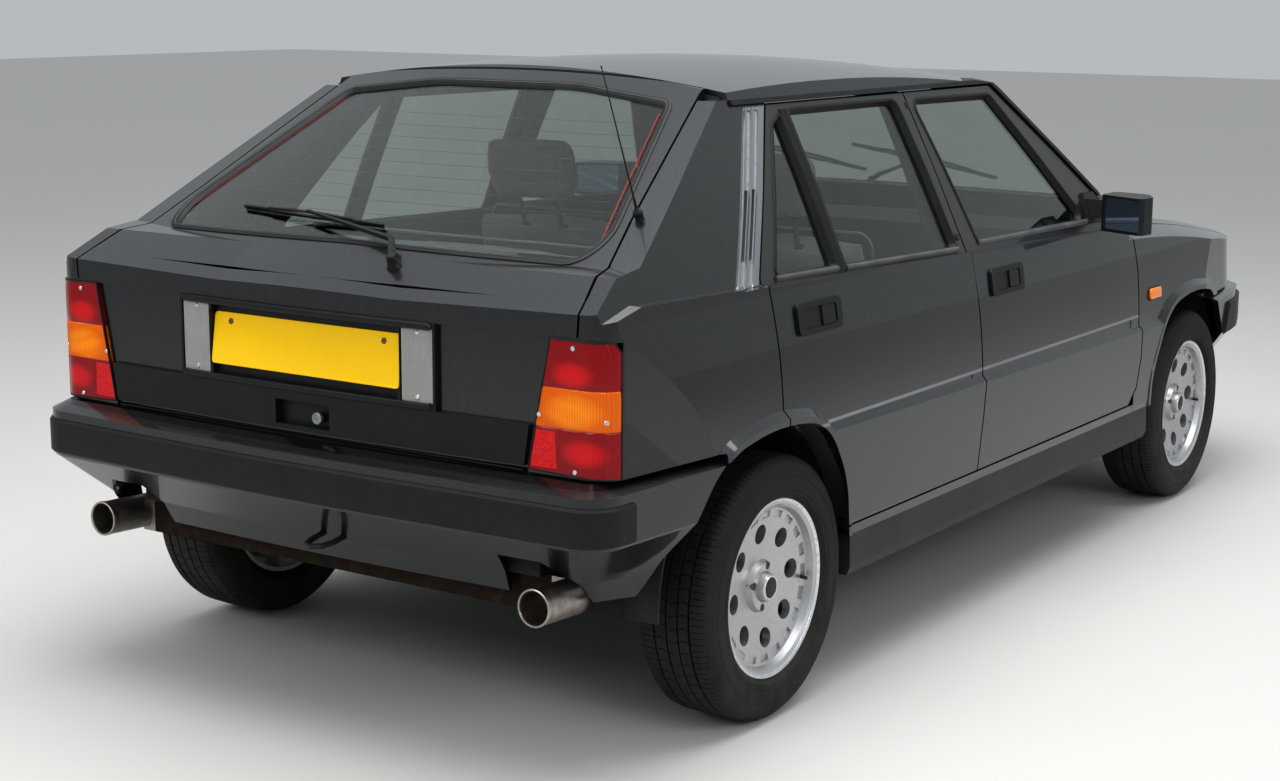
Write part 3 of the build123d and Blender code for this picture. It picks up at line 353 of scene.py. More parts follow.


# red, amber and red bands with a painted glow, a lighter patch where each bulb sits, and a honeycomb
# reflector
def makeTailLens():
    material, t, shader = newMaterial("tailLens", Roughness=0.1, IOR=1.5, Specular_IOR_Level=0.3)
    place = t.place()
    x, y, z = t.xyz(place)
    side = t.math("ABSOLUTE", y)
    amber = t.times(t.ramp(z, tailColours["redFoot"], tailColours["redFoot"] + 0.0005, smooth=False),
                    t.ramp(z, tailColours["amberTop"], tailColours["amberTop"] - 0.0005, smooth=False))
    # painted glow: the lens colour turns lighter round each bulb's place, light painted into the colour
    paintedGlow = 0.0
    for across, height, reach in tailColours["paintedGlows"]:
        dy = t.math("DIVIDE", t.minus(side, across), reach)
        dz = t.math("DIVIDE", t.minus(z, height), reach * 0.55)
        far = t.plus(t.times(dy, dy), t.times(dz, dz))
        paintedGlow = t.plus(paintedGlow, t.ramp(far, 1.0, 0.0), clamp=True)
    ribs = t.times(t.ramp(t.wave(place, 55.0, "Y"), 0.2, 0.8), 0.3)
    base = t.mix(amber, tailColours["red"], tailColours["amber"])
    paintedGlowColour = t.mix(amber, tailColours["redPaintedGlow"], tailColours["amberPaintedGlow"])
    base = t.mix(t.times(paintedGlow, t.minus(1.0, ribs)), base, paintedGlowColour)
    edge = t.minus(t.plus(0.672, t.times(z, -0.05)), side)
    top, foot = tailColours["reflectorTop"], tailColours["reflectorFoot"]
    low = t.times(t.ramp(z, top, top - 0.0005, smooth=False), t.ramp(z, foot, foot + 0.0005, smooth=False))
    reflector = t.times(t.ramp(edge, 0.0, 0.0005, smooth=False), low)
    cells = t.voronoi(place, 190.0, output="Color")
    honey = t.mix(t.xyz(cells)[0], tailColours["reflector"], tailColours["cell"])
    base = t.mix(reflector, base, honey)
    fillShader(t, shader, Base_Color=t.mix(t.times(ribs, 0.35), base, tailColours["rib"]),
               Normal=t.bump(t.voronoi(place, 190.0), t.times(reflector, 0.6), 0.001))
    return material


exhaustColours = {"tip": (0.4, 0.37, 0.34, 1), "run": (0.03, 0.024, 0.019, 1), "stain": (0.11, 0.08, 0.06, 1)}


# bright tips, and a dull rusty run and silencer under the floor
def makeExhaust():
    material, t, shader = newMaterial("exhaustSteel", Metallic=1.0)
    behind, across = t.xyz(t.place())[:2]
    across = t.math("ABSOLUTE", across)
    dull = t.math("MAXIMUM", t.ramp(across, 0.564, 0.562), t.ramp(behind, -1.79, -1.76))
    base = t.mix(dull, exhaustColours["tip"], exhaustColours["run"])
    wear = placeGroup(t, "wear", Base=base, Stain=exhaustColours["stain"], Stain_Amount=0.6, Stain_Scale=38.0,
                      Rough=0.3)
    fillShader(t, shader, Base_Color=wear["Colour"], Normal=t.bump(wear["Height"], 0.3, 0.0008),
               Roughness=t.math("MULTIPLY_ADD", dull, 0.35, wear["Roughness"], clamp=True))
    return material


finishes = {
    "paint": makePaint("metallicPaint"),
    "linedPaint": makePaint("linedPaint", lined=True),
    "doorPaint": makePaint("doorPaint", {"slope": 0.0285, "height": 0.8955}, True),
    "satinBlack": makePlastic("satinBlack", (0.01, 0.01, 0.011, 1), (0.022, 0.022, 0.022, 1), 900.0, 0.3, 0.3,
                              0.15),
    "blackTrim": makePlastic("blackTrim", (0.012, 0.012, 0.013, 1), (0.03, 0.03, 0.03, 1), 900.0, 0.5, 0.4,
                             0.25),
    "rubber": makePlastic("rubberStrip", (0.009, 0.009, 0.009, 1), (0.02, 0.0195, 0.019, 1), 500.0, 0.5, 0.4,
                          0.12),
    "greySeal": makePlastic("greySeal", (0.06, 0.062, 0.063, 1), (0.13, 0.13, 0.128, 1), 500.0, 0.6, 0.5,
                            0.2),
    "tyre": makePlastic("tyreRubber", (0.009, 0.009, 0.009, 1), (0.02, 0.019, 0.018, 1), 260.0, 0.5, 0.6,
                        0.16, 0.6, 0.3, 0.0006),
    "rim": makeMetal("wheelPaint", (0.5, 0.505, 0.515, 1), (0.3, 0.28, 0.25, 1), 0.3, 90.0, 0.28, 0.85,
                     dust=0.08),
    "rimEdge": makeMetal("scuffedEdge", (0.75, 0.76, 0.77, 1), (0.2, 0.19, 0.18, 1), 0.7, 120.0, 0.22, 0.9,
                         0.5, 0.0008),
    "glass": makeGlass("windowGlass", (0.62, 0.68, 0.66, 1)),
    "ribbedLens": makePlastic("ribbedLens", (0.3, 0.3, 0.29, 1), (0.4, 0.39, 0.38, 1), 300.0, 0.4, 0.16, 0.15,
                              0.4, 0.1),
    "lens": makeGlass("clearLens", (0.9, 0.91, 0.91, 1), 0.06, 0.5),
    "smokedLens": makeGlass("smokedLens", (0.35, 0.36, 0.36, 1), 0.1, 0.4),
    "chrome": makeMetal("brightMetal", (0.72, 0.73, 0.74, 1), (0.35, 0.34, 0.32, 1), 0.2, 90.0, 0.1),
    "silver": makeMetal("silverPaint", (0.3, 0.31, 0.325, 1), (0.15, 0.15, 0.155, 1), 0.4, 45.0, 0.26, 0.85),
    "bolt": makeMetal("rustyBolt", (0.15, 0.11, 0.075, 1), (0.13, 0.045, 0.015, 1), 0.8, 160.0, 0.5, 0.6, 0.5,
                      0.0006),
    "underbody": makePlastic("underbodyCoat", (0.012, 0.012, 0.012, 1), (0.035, 0.031, 0.027, 1), 160.0, 0.6,
                             0.7, 0.4, 0.6, 0.5, 0.002),
    "castIron": makeMetal("rustyIron", (0.1, 0.09, 0.08, 1), (0.12, 0.055, 0.03, 1), 0.8, 45.0, 0.55, 0.6,
                          0.5, 0.001),
    "exhaust": makeExhaust(),
    "alloy": makeMetal("castAlloy", (0.3, 0.3, 0.29, 1), (0.1, 0.09, 0.08, 1), 0.6, 50.0, 0.5, 0.8, 0.4,
                       0.001),
    "mirror": makeMetal("blueMirror", (0.5, 0.64, 0.84, 1), (0.46, 0.6, 0.78, 1), 0.1, 20.0, 0.02, 1.0, 0.0,
                        0.0001),
    "plate": makePlastic("yellowPlate", (0.86, 0.52, 0.0, 1), (0.8, 0.47, 0.0, 1), 60.0, 0.3, 0.35, 0.1, 1.2,
                         0.03, 0.0002),
    "cloth": makePlastic("seatCloth", (0.27, 0.25, 0.215, 1), (0.36, 0.33, 0.29, 1), 700.0, 0.6, 0.85, 0.0,
                         0.1, 0.6, 0.0008, Sheen_Weight=0.4),
    "carpet": makePlastic("shelfCarpet", (0.03, 0.03, 0.03, 1), (0.06, 0.06, 0.058, 1), 420.0, 0.6, 0.9, 0.0,
                          0.1, 0.8, 0.002),
    "tailLens": makeTailLens(),
    "amber": makePlastic("amberLens", (0.8, 0.2, 0.004, 1), (0.95, 0.3, 0.01, 1), 90.0, 0.5, 0.1, 0.05, 0.8,
                         0.2, 0.0006, Coat_Weight=0.8),
    "redLine": makePlastic("redLine", (0.2, 0.006, 0.008, 1), (0.26, 0.02, 0.02, 1), 300.0, 0.3, 0.25, 0.05),
    "heater": makeMetal("heaterLine", (0.2, 0.13, 0.07, 1), (0.12, 0.08, 0.05, 1), 0.5, 200.0, 0.4, 0.6),
}

nodeFinish = {
    "roof_panel": "linedPaint", "body_side": "linedPaint", "front_wing": "paint", "bonnet": "paint",
    "nose_panel": "paint", "tailgate": "paint", "rear_bumper": "paint", "front_bumper": "paint",
    "door": "doorPaint", "scuttle": "blackTrim", "sill_skirts": "satinBlack", "pillar_vents": "silver",
    "tailgate_trim": "satinBlack", "grille": "blackTrim", "fittings": "satinBlack", "dashboard": "blackTrim",
    "steering_wheel": "blackTrim", "rubber_strips": "rubber", "aerial": "blackTrim",
    "rear_wiper": "blackTrim", "front_wipers": "blackTrim", "tyre": "tyre", "rim": "rim", "glass": "glass",
    "windscreen": "glass", "tailgate_glass": "glass", "headlamps": "lens", "reverse_lamps": "lens",
    "tail_lamps": "tailLens", "number_plate": "plate", "floor_pan": "underbody", "bulkhead": "underbody",
    "wheel_liners": "underbody", "suspension": "castIron", "knuckle": "castIron", "driveline": "underbody",
    "exhaust": "exhaust", "engine_block": "alloy", "mirror_glass": "mirror", "front_seats": "cloth",
    "rear_bench": "cloth",
}

for name, obj in nodes.items():
    keys = [key for key in nodeFinish if name == key or name.startswith(key + "_")]
    obj.data.materials.clear()
    obj.data.materials.append(finishes[nodeFinish[max(keys, key=len)]])
print("materials:", len(finishes))


def spot(x, y, z):
    # station from the rear axle, distance from the middle and height, in millimetres
    return Vector((rearAxle + x / 1000, y / 1000, z / 1000))


# turns a filled bmesh into a named piece that rides on a body
def makePiece(name, bm, finish, body, replaces=(), sharp=38, weld=True):
    if weld:
        bmesh.ops.remove_doubles(bm, verts=bm.verts, dist=0.00001)
        bmesh.ops.dissolve_degenerate(bm, edges=bm.edges, dist=0.000001)
    bmesh.ops.recalc_face_normals(bm, faces=bm.faces)
    mesh = bpy.data.meshes.new(name)
    bm.to_mesh(mesh)
    bm.free()
    return addPiece(name, mesh, finish, body, replaces, sharp)


def addPiece(name, mesh, finish, body, replaces=(), sharp=38):
    mesh.materials.clear()
    for one in [finish] if isinstance(finish, str) else finish:
        mesh.materials.append(finishes[one])
    mesh.polygons.foreach_set("use_smooth", [True] * len(mesh.polygons))
    mesh.set_sharp_from_angle(angle=math.radians(sharp))
    obj = newObject(name, mesh)
    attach(obj, body)
    if replaces:
        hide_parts(*replaces)
    return obj


# quads between successive rings of points
def addRings(bm, rings, closedRing=True, closedPath=False, caps=True, index=0):
    rows = [[bm.verts.new(p) for p in ring] for ring in rings]
    count = len(rings[0])
    pairs = list(zip(rows, rows[1:])) + ([(rows[-1], rows[0])] if closedPath else [])
    for a, b in pairs:
        for i in range(count if closedRing else count - 1):
            j = (i + 1) % count
            bm.faces.new((a[i], a[j], b[j], b[i])).material_index = index
    if caps and closedRing and not closedPath:
        bm.faces.new(rows[0][::-1]).material_index = index
        bm.faces.new(rows[-1]).material_index = index


# a profile of (along, radius) in millimetres turned round an axis
def addTurned(bm, profile, centre, axis=(0, 1, 0), segments=48, closed=False, index=0):
    axis = Vector(axis).normalized()
    across = axis.orthogonal().normalized()
    up = axis.cross(across)
    rings = []
    for k in range(segments):
        angle = 2 * math.pi * k / segments
        way = across * math.cos(angle) + up * math.sin(angle)
        rings.append([centre + axis * (s / 1000) + way * (r / 1000) for s, r in profile])
    addRings(bm, rings, closedRing=closed, closedPath=True, index=index)


# a profile of (out, lift) in millimetres carried along a path that lies on a surface
def addSweep(bm, path, profile, closed=False, index=0, taper=None):
    count = len(path)
    frames = []
    for i, (p, up) in enumerate(path):
        before = path[i - 1][0] if i or closed else p
        after = path[(i + 1) % count][0] if i < count - 1 or closed else p
        way = (after - before).normalized()
        frames.append((p, way.cross(up).normalized(), up))
    flip = 1.0
    if closed:
        middle = sum((p for p, up in path), Vector()) / count
        if sum((p - middle).dot(out) for p, out, up in frames) < 0:
            flip = -1.0
    rings = []
    for i, (p, out, up) in enumerate(frames):
        size = taper(i / (count - 1)) if taper else 1.0
        rings.append([p + out * (flip * u * size / 1000) + up * (v * size / 1000) for u, v in profile])
    addRings(bm, rings, closedPath=closed, index=index)


# corners (a, b, radius) as a closed list of 2-D points, straight runs cut at spacing
def roundedOutline(rows, spacing=40.0, steps=6):
    points = []
    count = len(rows)
    for i, (a, b, radius) in enumerate(rows):
        corner = Vector((a, b))
        back = (Vector(rows[i - 1][:2]) - corner).normalized()
        ahead = (Vector(rows[(i + 1) % count][:2]) - corner).normalized()
        half = back.angle(ahead) / 2
        if radius < 0.1 or half > math.pi / 2 - 0.001:
            points.append(corner)
            continue
        reach = radius / math.tan(half)
        middle = corner + (back + ahead).normalized() * (radius / math.sin(half))
        first, last = corner + back * reach - middle, corner + ahead * reach - middle
        turn = math.atan2(first.cross(last), first.dot(last))
        for k in range(steps + 1):
            points.append(middle + Matrix.Rotation(turn * k / steps, 2) @ first)
    out = []
    for i, p in enumerate(points):
        q = points[(i + 1) % len(points)]
        parts = max(1, math.ceil((q - p).length / spacing))
        out += [p + (q - p) * (k / parts) for k in range(parts)]
    return out


def twoSided(rows):
    return rows + [(-row[0],) + tuple(row[1:]) for row in rows[::-1] if abs(row[0]) > 0]


# side: height, distance from the middle and lean, from each height on
# tail and screen: way, foot, slope and the bow's radius
skins = {"side": ((905, 746, 0.4422), (1104, 658, 0.4898)), "sideNormal": (0.9114, 0.4116),
         "tail": (-1, (-463, 1018), 1.774, 3165.0), "screen": (1, (2030, 930), 1.3406, 3656.2)}


# the outer skin beside the side windows, from a station and a height
def sideSkin(side):
    def place(x, z):
        base, half, lean = skins["side"][0 if z < skins["side"][1][0] else 1]
        normal = Vector((0, side * skins["sideNormal"][0], skins["sideNormal"][1]))
        return spot(x, side * (half - lean * (z - base)), z), normal
    return place


# the sloping tail and the windscreen, from a distance to the side and a height
def slopeSkin(key):
    way, (foot, base), slope, radius = skins[key]

    def maker(lift=0.0):
        def place(y, z):
            bow = math.sqrt(radius ** 2 - y * y)
            normal = Vector((way, y / bow, slope)).normalized()
            x = foot + way * (bow - radius - (z - base) * slope)
            return spot(x, y, z) + normal * (lift / 1000), normal
        return place
    return maker


tailSkin, screenSkin = slopeSkin("tail"), slopeSkin("screen")


def nodeTree(*names):
    vertices, faces = [], []
    for name in names:
        mesh = nodes[name].data
        base = len(vertices)
        vertices += [v.co.copy() for v in mesh.vertices]
        faces += [[base + i for i in p.vertices] for p in mesh.polygons]
    return BVHTree.FromPolygons(vertices, faces)


# where a ray along a straight way first meets a CAD piece, with the normal turned towards the ray's start
def castOn(tree, start, way):
    hit, normal, face, distance = tree.ray_cast(start, way)
    if hit is not None and normal.dot(way) > 0:
        normal = -normal
    return hit, normal


def fromBehind(tree, y, z):
    return castOn(tree, spot(-900, y, z), Vector((1, 0, 0)))


# a closed panel over a grid: place(u, v) gives point and normal, height(i, j) the relief in millimetres
def addRelief(bm, place, us, vs, height, depth=3.0, index=None):
    front, back = [], []
    for j, v in enumerate(vs):
        rowFront, rowBack = [], []
        for i, u in enumerate(us):
            point, normal = place(u, v)
            rowFront.append(bm.verts.new(point + normal * (height(u, v) / 1000)))
            rowBack.append(bm.verts.new(point - normal * (depth / 1000)))
        front.append(rowFront)
        back.append(rowBack)
    for j in range(len(vs) - 1):
        for i in range(len(us) - 1):
            face = bm.faces.new((front[j][i], front[j][i + 1], front[j + 1][i + 1], front[j + 1][i]))
            if index:
                face.material_index = index((us[i] + us[i + 1]) / 2, (vs[j] + vs[j + 1]) / 2)
            bm.faces.new((back[j][i], back[j + 1][i], back[j + 1][i + 1], back[j][i + 1]))
    border = [(0, i) for i in range(len(us))] + [(j, len(us) - 1) for j in range(1, len(vs))]
    border += [(len(vs) - 1, i) for i in range(len(us) - 2, -1, -1)]
    border += [(j, 0) for j in range(len(vs) - 2, 0, -1)]
    for k, (j, i) in enumerate(border):
        m, n = border[(k + 1) % len(border)]
        bm.faces.new((front[j][i], back[j][i], back[m][n], front[m][n]))


def spread(first, last, count):
    return [first + (last - first) * k / (count - 1) for k in range(count)]


# one tree of geometry nodes; what places the copies is passed in
def newGeometryTree(name, inputs):
    tree = bpy.data.node_groups.new(name, "GeometryNodeTree")
    tree.interface.new_socket(name="Geometry", in_out="INPUT", socket_type="NodeSocketGeometry")
    tree.interface.new_socket(name="Geometry", in_out="OUTPUT", socket_type="NodeSocketGeometry")
    for label, kind in inputs:
        tree.interface.new_socket(name=label, in_out="INPUT", socket_type=kind)
    return tree, Tree(tree), tree.nodes.new("NodeGroupInput"), tree.nodes.new("NodeGroupOutput")


def endTree(t, copies, start, end):
    real = t.add("GeometryNodeRealizeInstances")
    t.link(copies, real.inputs[0])
    finish = t.add("GeometryNodeSetMaterial")
    t.link(real.outputs[0], finish.inputs["Geometry"])
    t.link(start.outputs["Finish"], finish.inputs["Material"])
    t.link(finish.outputs[0], end.inputs[0])


# copies of one part in a ring about the car's crosswise axis
def makeRingTree():
    inputs = [("Part", "NodeSocketObject"), ("Count", "NodeSocketInt"), ("Start Angle", "NodeSocketFloat"),
              ("Centre", "NodeSocketVector"), ("Finish", "NodeSocketMaterial")]
    tree, t, start, end = newGeometryTree("ringOfParts", inputs)
    points = t.add("GeometryNodePoints")
    t.link(start.outputs["Count"], points.inputs["Count"])
    t.link(start.outputs["Centre"], points.inputs["Position"])
    step = t.math("DIVIDE", 2 * math.pi, start.outputs["Count"])
    angle = t.math("MULTIPLY_ADD", t.add("GeometryNodeInputIndex").outputs[0], step,
                   start.outputs["Start Angle"])
    turn = t.add("ShaderNodeCombineXYZ")
    t.link(angle, turn.inputs[1])
    copies = t.add("GeometryNodeInstanceOnPoints")
    info = t.add("GeometryNodeObjectInfo")
    t.link(start.outputs["Part"], info.inputs["Object"])
    t.link(points.outputs[0], copies.inputs["Points"])
    t.link(info.outputs["Geometry"], copies.inputs["Instance"])
    t.link(turn.outputs[0], copies.inputs["Rotation"])
    endTree(t, copies.outputs[0], start, end)
    return tree


# a round tube along every run of edges in the object
def makeTubeTree():
    tree, t, start, end = newGeometryTree("tubeAlongPath",
                                          [("Radius", "NodeSocketFloat"), ("Finish", "NodeSocketMaterial")])
    curve = t.add("GeometryNodeMeshToCurve")
    t.link(start.outputs["Geometry"], curve.inputs[0])
    circle = t.add("GeometryNodeCurvePrimitiveCircle")
    circle.inputs["Resolution"].default_value = 8
    t.link(start.outputs["Radius"], circle.inputs["Radius"])
    tube = t.add("GeometryNodeCurveToMesh")
    t.link(curve.outputs[0], tube.inputs["Curve"])
    t.link(circle.outputs[0], tube.inputs["Profile Curve"])
    tube.inputs["Fill Caps"].default_value = True
    endTree(t, tube.outputs[0], start, end)
    return tree


trees = {"ring": makeRingTree(), "tube": makeTubeTree()}


# runs one geometry tree and gives back its result as a plain mesh
def runTree(name, tree, mesh=None, part=None, finish="blackTrim", **values):
    holder = newObject(name, mesh or bpy.data.meshes.new(name))
    source = None
    modifier = holder.modifiers.new(name, "NODES")
    modifier.node_group = trees[tree]
    items = trees[tree].interface.items_tree
    sockets = {item.name: item.identifier for item in items if item.in_out == "INPUT"}
    if part is not None:
        source = newObject(name + "Part", part)
        modifier[sockets["Part"]] = source
    modifier[sockets["Finish"]] = finishes[finish]
    for label, value in values.items():
        modifier[sockets[label.replace("_", " ")]] = value
    bpy.context.view_layer.update()
    result = bpy.data.meshes.new_from_object(holder.evaluated_get(bpy.context.evaluated_depsgraph_get()))
    holder.modifiers.remove(modifier)
    bpy.data.objects.remove(holder)
    if source:
        bpy.data.objects.remove(source)
    return result


# edges from point to point, for the tube tree
def addPath(bm, points, closed=False):
    row = [bm.verts.new(p) for p in points]
    for a, b in zip(row, row[1:] + (row[:1] if closed else [])):
        bm.edges.new((a, b))


# the mesh that a builder function fills
def meshFrom(name, build):
    bm = bmesh.new()
    build(bm)
    bmesh.ops.remove_doubles(bm, verts=bm.verts, dist=0.00001)
    bmesh.ops.recalc_face_normals(bm, faces=bm.faces)
    mesh = bpy.data.meshes.new(name)
    bm.to_mesh(mesh)
    bm.free()
    return mesh


# a copy of a mesh moved, and mirrored to the other side where side is -1
def placedCopy(mesh, move=(0, 0, 0), side=1):
    bm = bmesh.new()
    bm.from_mesh(mesh)
    for vertex in bm.verts:
        vertex.co = Vector((vertex.co.x, vertex.co.y * side, vertex.co.z)) + Vector(move)
    if side < 0:
        bmesh.ops.reverse_faces(bm, faces=bm.faces)
    out = bpy.data.meshes.new(mesh.name + "Copy")
    bm.to_mesh(out)
    bm.free()
    return out


print("builders ready")


# straight round bar or cone between two places
def addRod(bm, first, last, radius, radiusEnd=None, segments=14, index=0):
    way = last - first
    length = way.length * 1000
    profile = [(0, 0), (0, radius), (length, radius if radiusEnd is None else radiusEnd), (length, 0)]
    addTurned(bm, profile, first, way, segments, index=index)


# a box with rounded edges, sized in millimetres and set by a matrix
def addBlock(bm, size, matrix, rounding=2.0, steps=2, index=0):
    old = set(bm.faces)
    scale = Matrix.Diagonal((size[0] / 1000, size[1] / 1000, size[2] / 1000, 1))
    made = bmesh.ops.create_cube(bm, size=1.0, matrix=matrix @ scale)["verts"]
    edges = list({edge for vertex in made for edge in vertex.link_edges})
    bmesh.ops.bevel(bm, geom=edges, offset=rounding / 1000, segments=steps, profile=0.5, affect="EDGES",
                    clamp_overlap=True)
    for face in bm.faces:
        if face not in old:
            face.material_index = index


def tilted(x, y, z, degrees=0.0, axis="Y"):
    return Matrix.Translation(spot(x, y, z)) @ Matrix.Rotation(math.radians(degrees), 4, axis)


wheelSizes = {"half": 704, "height": 289}   # half of the track and the axle's height
wheels = {"rear_left": (0, 1), "rear_right": (0, -1), "front_left": (wheelBase, 1),
          "front_right": (wheelBase, -1)}
wheelCentres = {place: spot(x, wheelSizes["half"] * side, wheelSizes["height"])
                for place, (x, side) in wheels.items()}
tyreSizes = {"pitches": 64, "crown": 289.0, "fall": 1.3, "shoulder": 66.0, "shoulderDrop": 10.0, "depth": 8.5,
             "segments": 112}
sidewall = [(74, 190), (79, 196.5), (84, 199), (88, 203), (91, 206), (91.5, 210), (92.4, 225), (92.4, 240),
            (92, 252), (91.2, 254), (91.6, 256), (90, 262), (88.5, 266), (87.6, 268), (86, 271), (83.5, 275),
            (79, 279), (72, 280.8), (40, 281.6), (0, 281.8)]
# tread ribs: from, to across the tyre, share of the pitch that the block fills, slant along the pitch
treadRibs = [(49, 82, 0.44, 0.00, 0.02), (49, 82, 0.46, 0.00, 0.51), (21, 44, 0.93, 0.16, 0.02),
             (-7, 17, 0.95, -0.14, 0.0), (-37, -11, 0.93, 0.16, 0.03), (-82, -41, 0.45, 0.05, 0.02),
             (-82, -41, 0.45, 0.05, 0.51)]


def treadRadius(y):
    over = max(0.0, abs(y) - tyreSizes["shoulder"])
    fall = tyreSizes["fall"] * (y / 60) ** 2
    return tyreSizes["crown"] - fall - tyreSizes["shoulderDrop"] * (over / 16) ** 2


def addTreadPitch(bm):
    pitch = 2 * math.pi / tyreSizes["pitches"]
    for first, last, share, slant, start in treadRibs:
        rings = []
        for k in range(5):
            y = first + (last - first) * k / 4
            begin = (start + slant * math.sin(math.pi * k / 4)) * pitch
            top, low = treadRadius(y), min(treadRadius(y), 284.0) - tyreSizes["depth"]
            inner, outer = begin - 0.02 * pitch, begin + (share + 0.02) * pitch
            rim = [(inner, low), (begin, top), (begin + share * pitch, top), (outer, low)]
            rings.append([Vector((r / 1000 * math.sin(a), y / 1000, r / 1000 * math.cos(a))) for a, r in rim])
        addRings(bm, rings)


def addCarcass(bm):
    other = [(-y, r) for y, r in sidewall[::-1] if y > 0]
    inside = [(-66, 186), (66, 186)]
    addTurned(bm, sidewall + other + inside, Vector(), segments=tyreSizes["segments"], closed=True)
    for y, r, high in ((92.6, 246, 0.5), (92.3, 216, 0.6)):
        addTurned(bm, [(y - 1, r - 2), (y + high, r - 0.8), (y + high, r + 0.8), (y - 1, r + 2)], Vector(),
                  segments=tyreSizes["segments"], closed=True)


tread = runTree("treadRing", "ring", part=meshFrom("treadPitch", addTreadPitch), finish="tyre",
                Count=tyreSizes["pitches"], Start_Angle=0.0, Centre=(0.0, 0.0, 0.0))
carcass = meshFrom("carcass", addCarcass)
for place, (x, side) in wheels.items():
    bm = bmesh.new()
    for mesh in (tread, carcass):
        bm.from_mesh(placedCopy(mesh, wheelCentres[place], side))
    makePiece("tyre_" + place + "_tread", bm, "tyre", place + "_wheel", ["tyre_" + place], 32,
              weld=False)
print("tyres: four treads of", tyreSizes["pitches"], "pitches")

rimSizes = {"boltRing": 46, "boltStart": 13.0, "boltSize": 8.4, "segments": 96}
flangeEdge = [(72, 180), (76, 184), (79, 187), (80.5, 190), (81.5, 193.5), (80.5, 195.5), (78, 196),
              (76, 193), (74, 189), (70, 186)]
hubBoss = [(44, 24), (46, 24), (50, 33), (66, 31), (69, 29.5), (70, 27.5), (69, 0), (44, 0)]
hubRing = [(69, 27.6), (71.5, 26), (71.2, 23.4), (69, 23)]
hubCap = [(69, 23), (70.4, 22.5), (71.8, 12), (72.4, 0), (69, 0)]


def addBolt(bm):
    for radius, low, high in ((rimSizes["boltSize"], 43, 52), (rimSizes["boltSize"] + 3.5, 43, 45.5)):
        sides = 6 if high > 50 else 20
        way = Vector((0, 1, 0))
        addTurned(bm, [(low, 0), (low, radius), (high - 1, radius), (high, radius - 1), (high, 0)],
                  Vector((0, 0, rimSizes["boltRing"] / 1000)), way, sides)


def addRimEdge(bm):
    addTurned(bm, flangeEdge, Vector(), segments=rimSizes["segments"], closed=True)
    addTurned(bm, hubRing, Vector(), segments=40, closed=True)


def addHub(bm):
    addTurned(bm, hubBoss, Vector(), segments=40)


def addCap(bm):
    addTurned(bm, hubCap, Vector(), segments=40)


# valve stem between two holes and a balance weight clipped on the edge
def addValve(bm):
    first, last = Vector((0.156, 0.052, -0.014)), Vector((0.152, 0.066, -0.0135))
    addRod(bm, first, last, 4.4, 3.8)
    addRod(bm, last, last + (last - first).normalized() * 0.007, 4.4, 4.0)
    rows = []
    for k in range(9):
        angle = math.radians(-12 + 3 * k)
        rows.append([Vector((r / 1000 * math.sin(angle), y / 1000, r / 1000 * math.cos(angle)))
                     for y, r in ((70, 178), (77, 181), (78, 186), (74, 187), (69, 184))])
    addRings(bm, rows)


bolts = runTree("boltRing", "ring", part=meshFrom("boltHead", addBolt), finish="bolt", Count=4,
                Start_Angle=math.radians(rimSizes["boltStart"]), Centre=(0.0, 0.0, 0.0))
wheelParts = {"bolts": (bolts, "bolt"), "edge": (meshFrom("rimEdge", addRimEdge), "rimEdge"),
              "hub": (meshFrom("hubBoss", addHub), "rim"), "cap": (meshFrom("hubCap", addCap), "satinBlack"),
              "valve": (meshFrom("valve", addValve), "blackTrim")}
for place, (x, side) in wheels.items():
    for part, (mesh, finish) in wheelParts.items():
        copy = placedCopy(mesh, wheelCentres[place], side)
        addPiece("wheel_" + part + "_" + place, copy, finish, place + "_wheel", sharp=30)
print("wheels: edges, bolts and hubs")

windows = {"front": [[(984, 1274, 25), (1430, 1270, 30), (1738, 918, 22), (1052, 926, 16)]],
           "rear": [[(376, 1278, 20), (902, 1278, 25), (932, 922, 16), (376, 936, 12)],
                    [(340, 1272, 8), (340, 938, 12), (74, 944, 12), (290, 1250, 12)]]}
windowSeal = [(6, 0.2), (5, 2), (1, 3.2), (-2, 2.5), (-9, -10.5), (-10, -12), (-6, -12.2), (0, -4), (2, 0)]
waistSeal = [(-7, 0.2), (-7, 4), (-3, 6), (2, 5.2), (7, 1.5), (7, 0.2)]
dividerBar = [(-17, 0.2), (-16, 3), (-11, 4.6), (-5, 4.4), (-3, 2.2), (3, 2.2), (5, 4.4), (11, 4.6), (16, 3),
              (17, 0.2)]
for doorPlace, outlines in windows.items():
    for sideName, side in sides.items():
        body = doorPlace + "_" + sideName + "_door"
        skin = sideSkin(side)
        bm = bmesh.new()
        for rows in outlines:
            addSweep(bm, [skin(p.x, p.y) for p in roundedOutline(rows, 60, 5)], windowSeal, closed=True)
        if doorPlace == "rear":
            addSweep(bm, [skin(358, z) for z in spread(930, 1280, 8)], dividerBar)
            addSweep(bm, [skin(955 - (z - 1180) * 0.04, z) for z in spread(1255, 1270, 2)],
                     [(-8, 0), (-7, 2), (7, 2), (8, 0)])
        makePiece("window_seals_" + doorPlace + "_" + sideName, bm, "rubber", body, sharp=42)
        bm = bmesh.new()
        for rows in outlines:
            (xa, za), (xb, zb) = sorted(row[:2] for row in sorted(rows, key=lambda row: row[1])[:2])
            ends = [skin(xa + (xb - xa) * k / 11, za + (zb - za) * k / 11 - 3) for k in range(12)]
            addSweep(bm, ends, waistSeal)
        makePiece("waist_seals_" + doorPlace + "_" + sideName, bm, "greySeal", body, sharp=42)

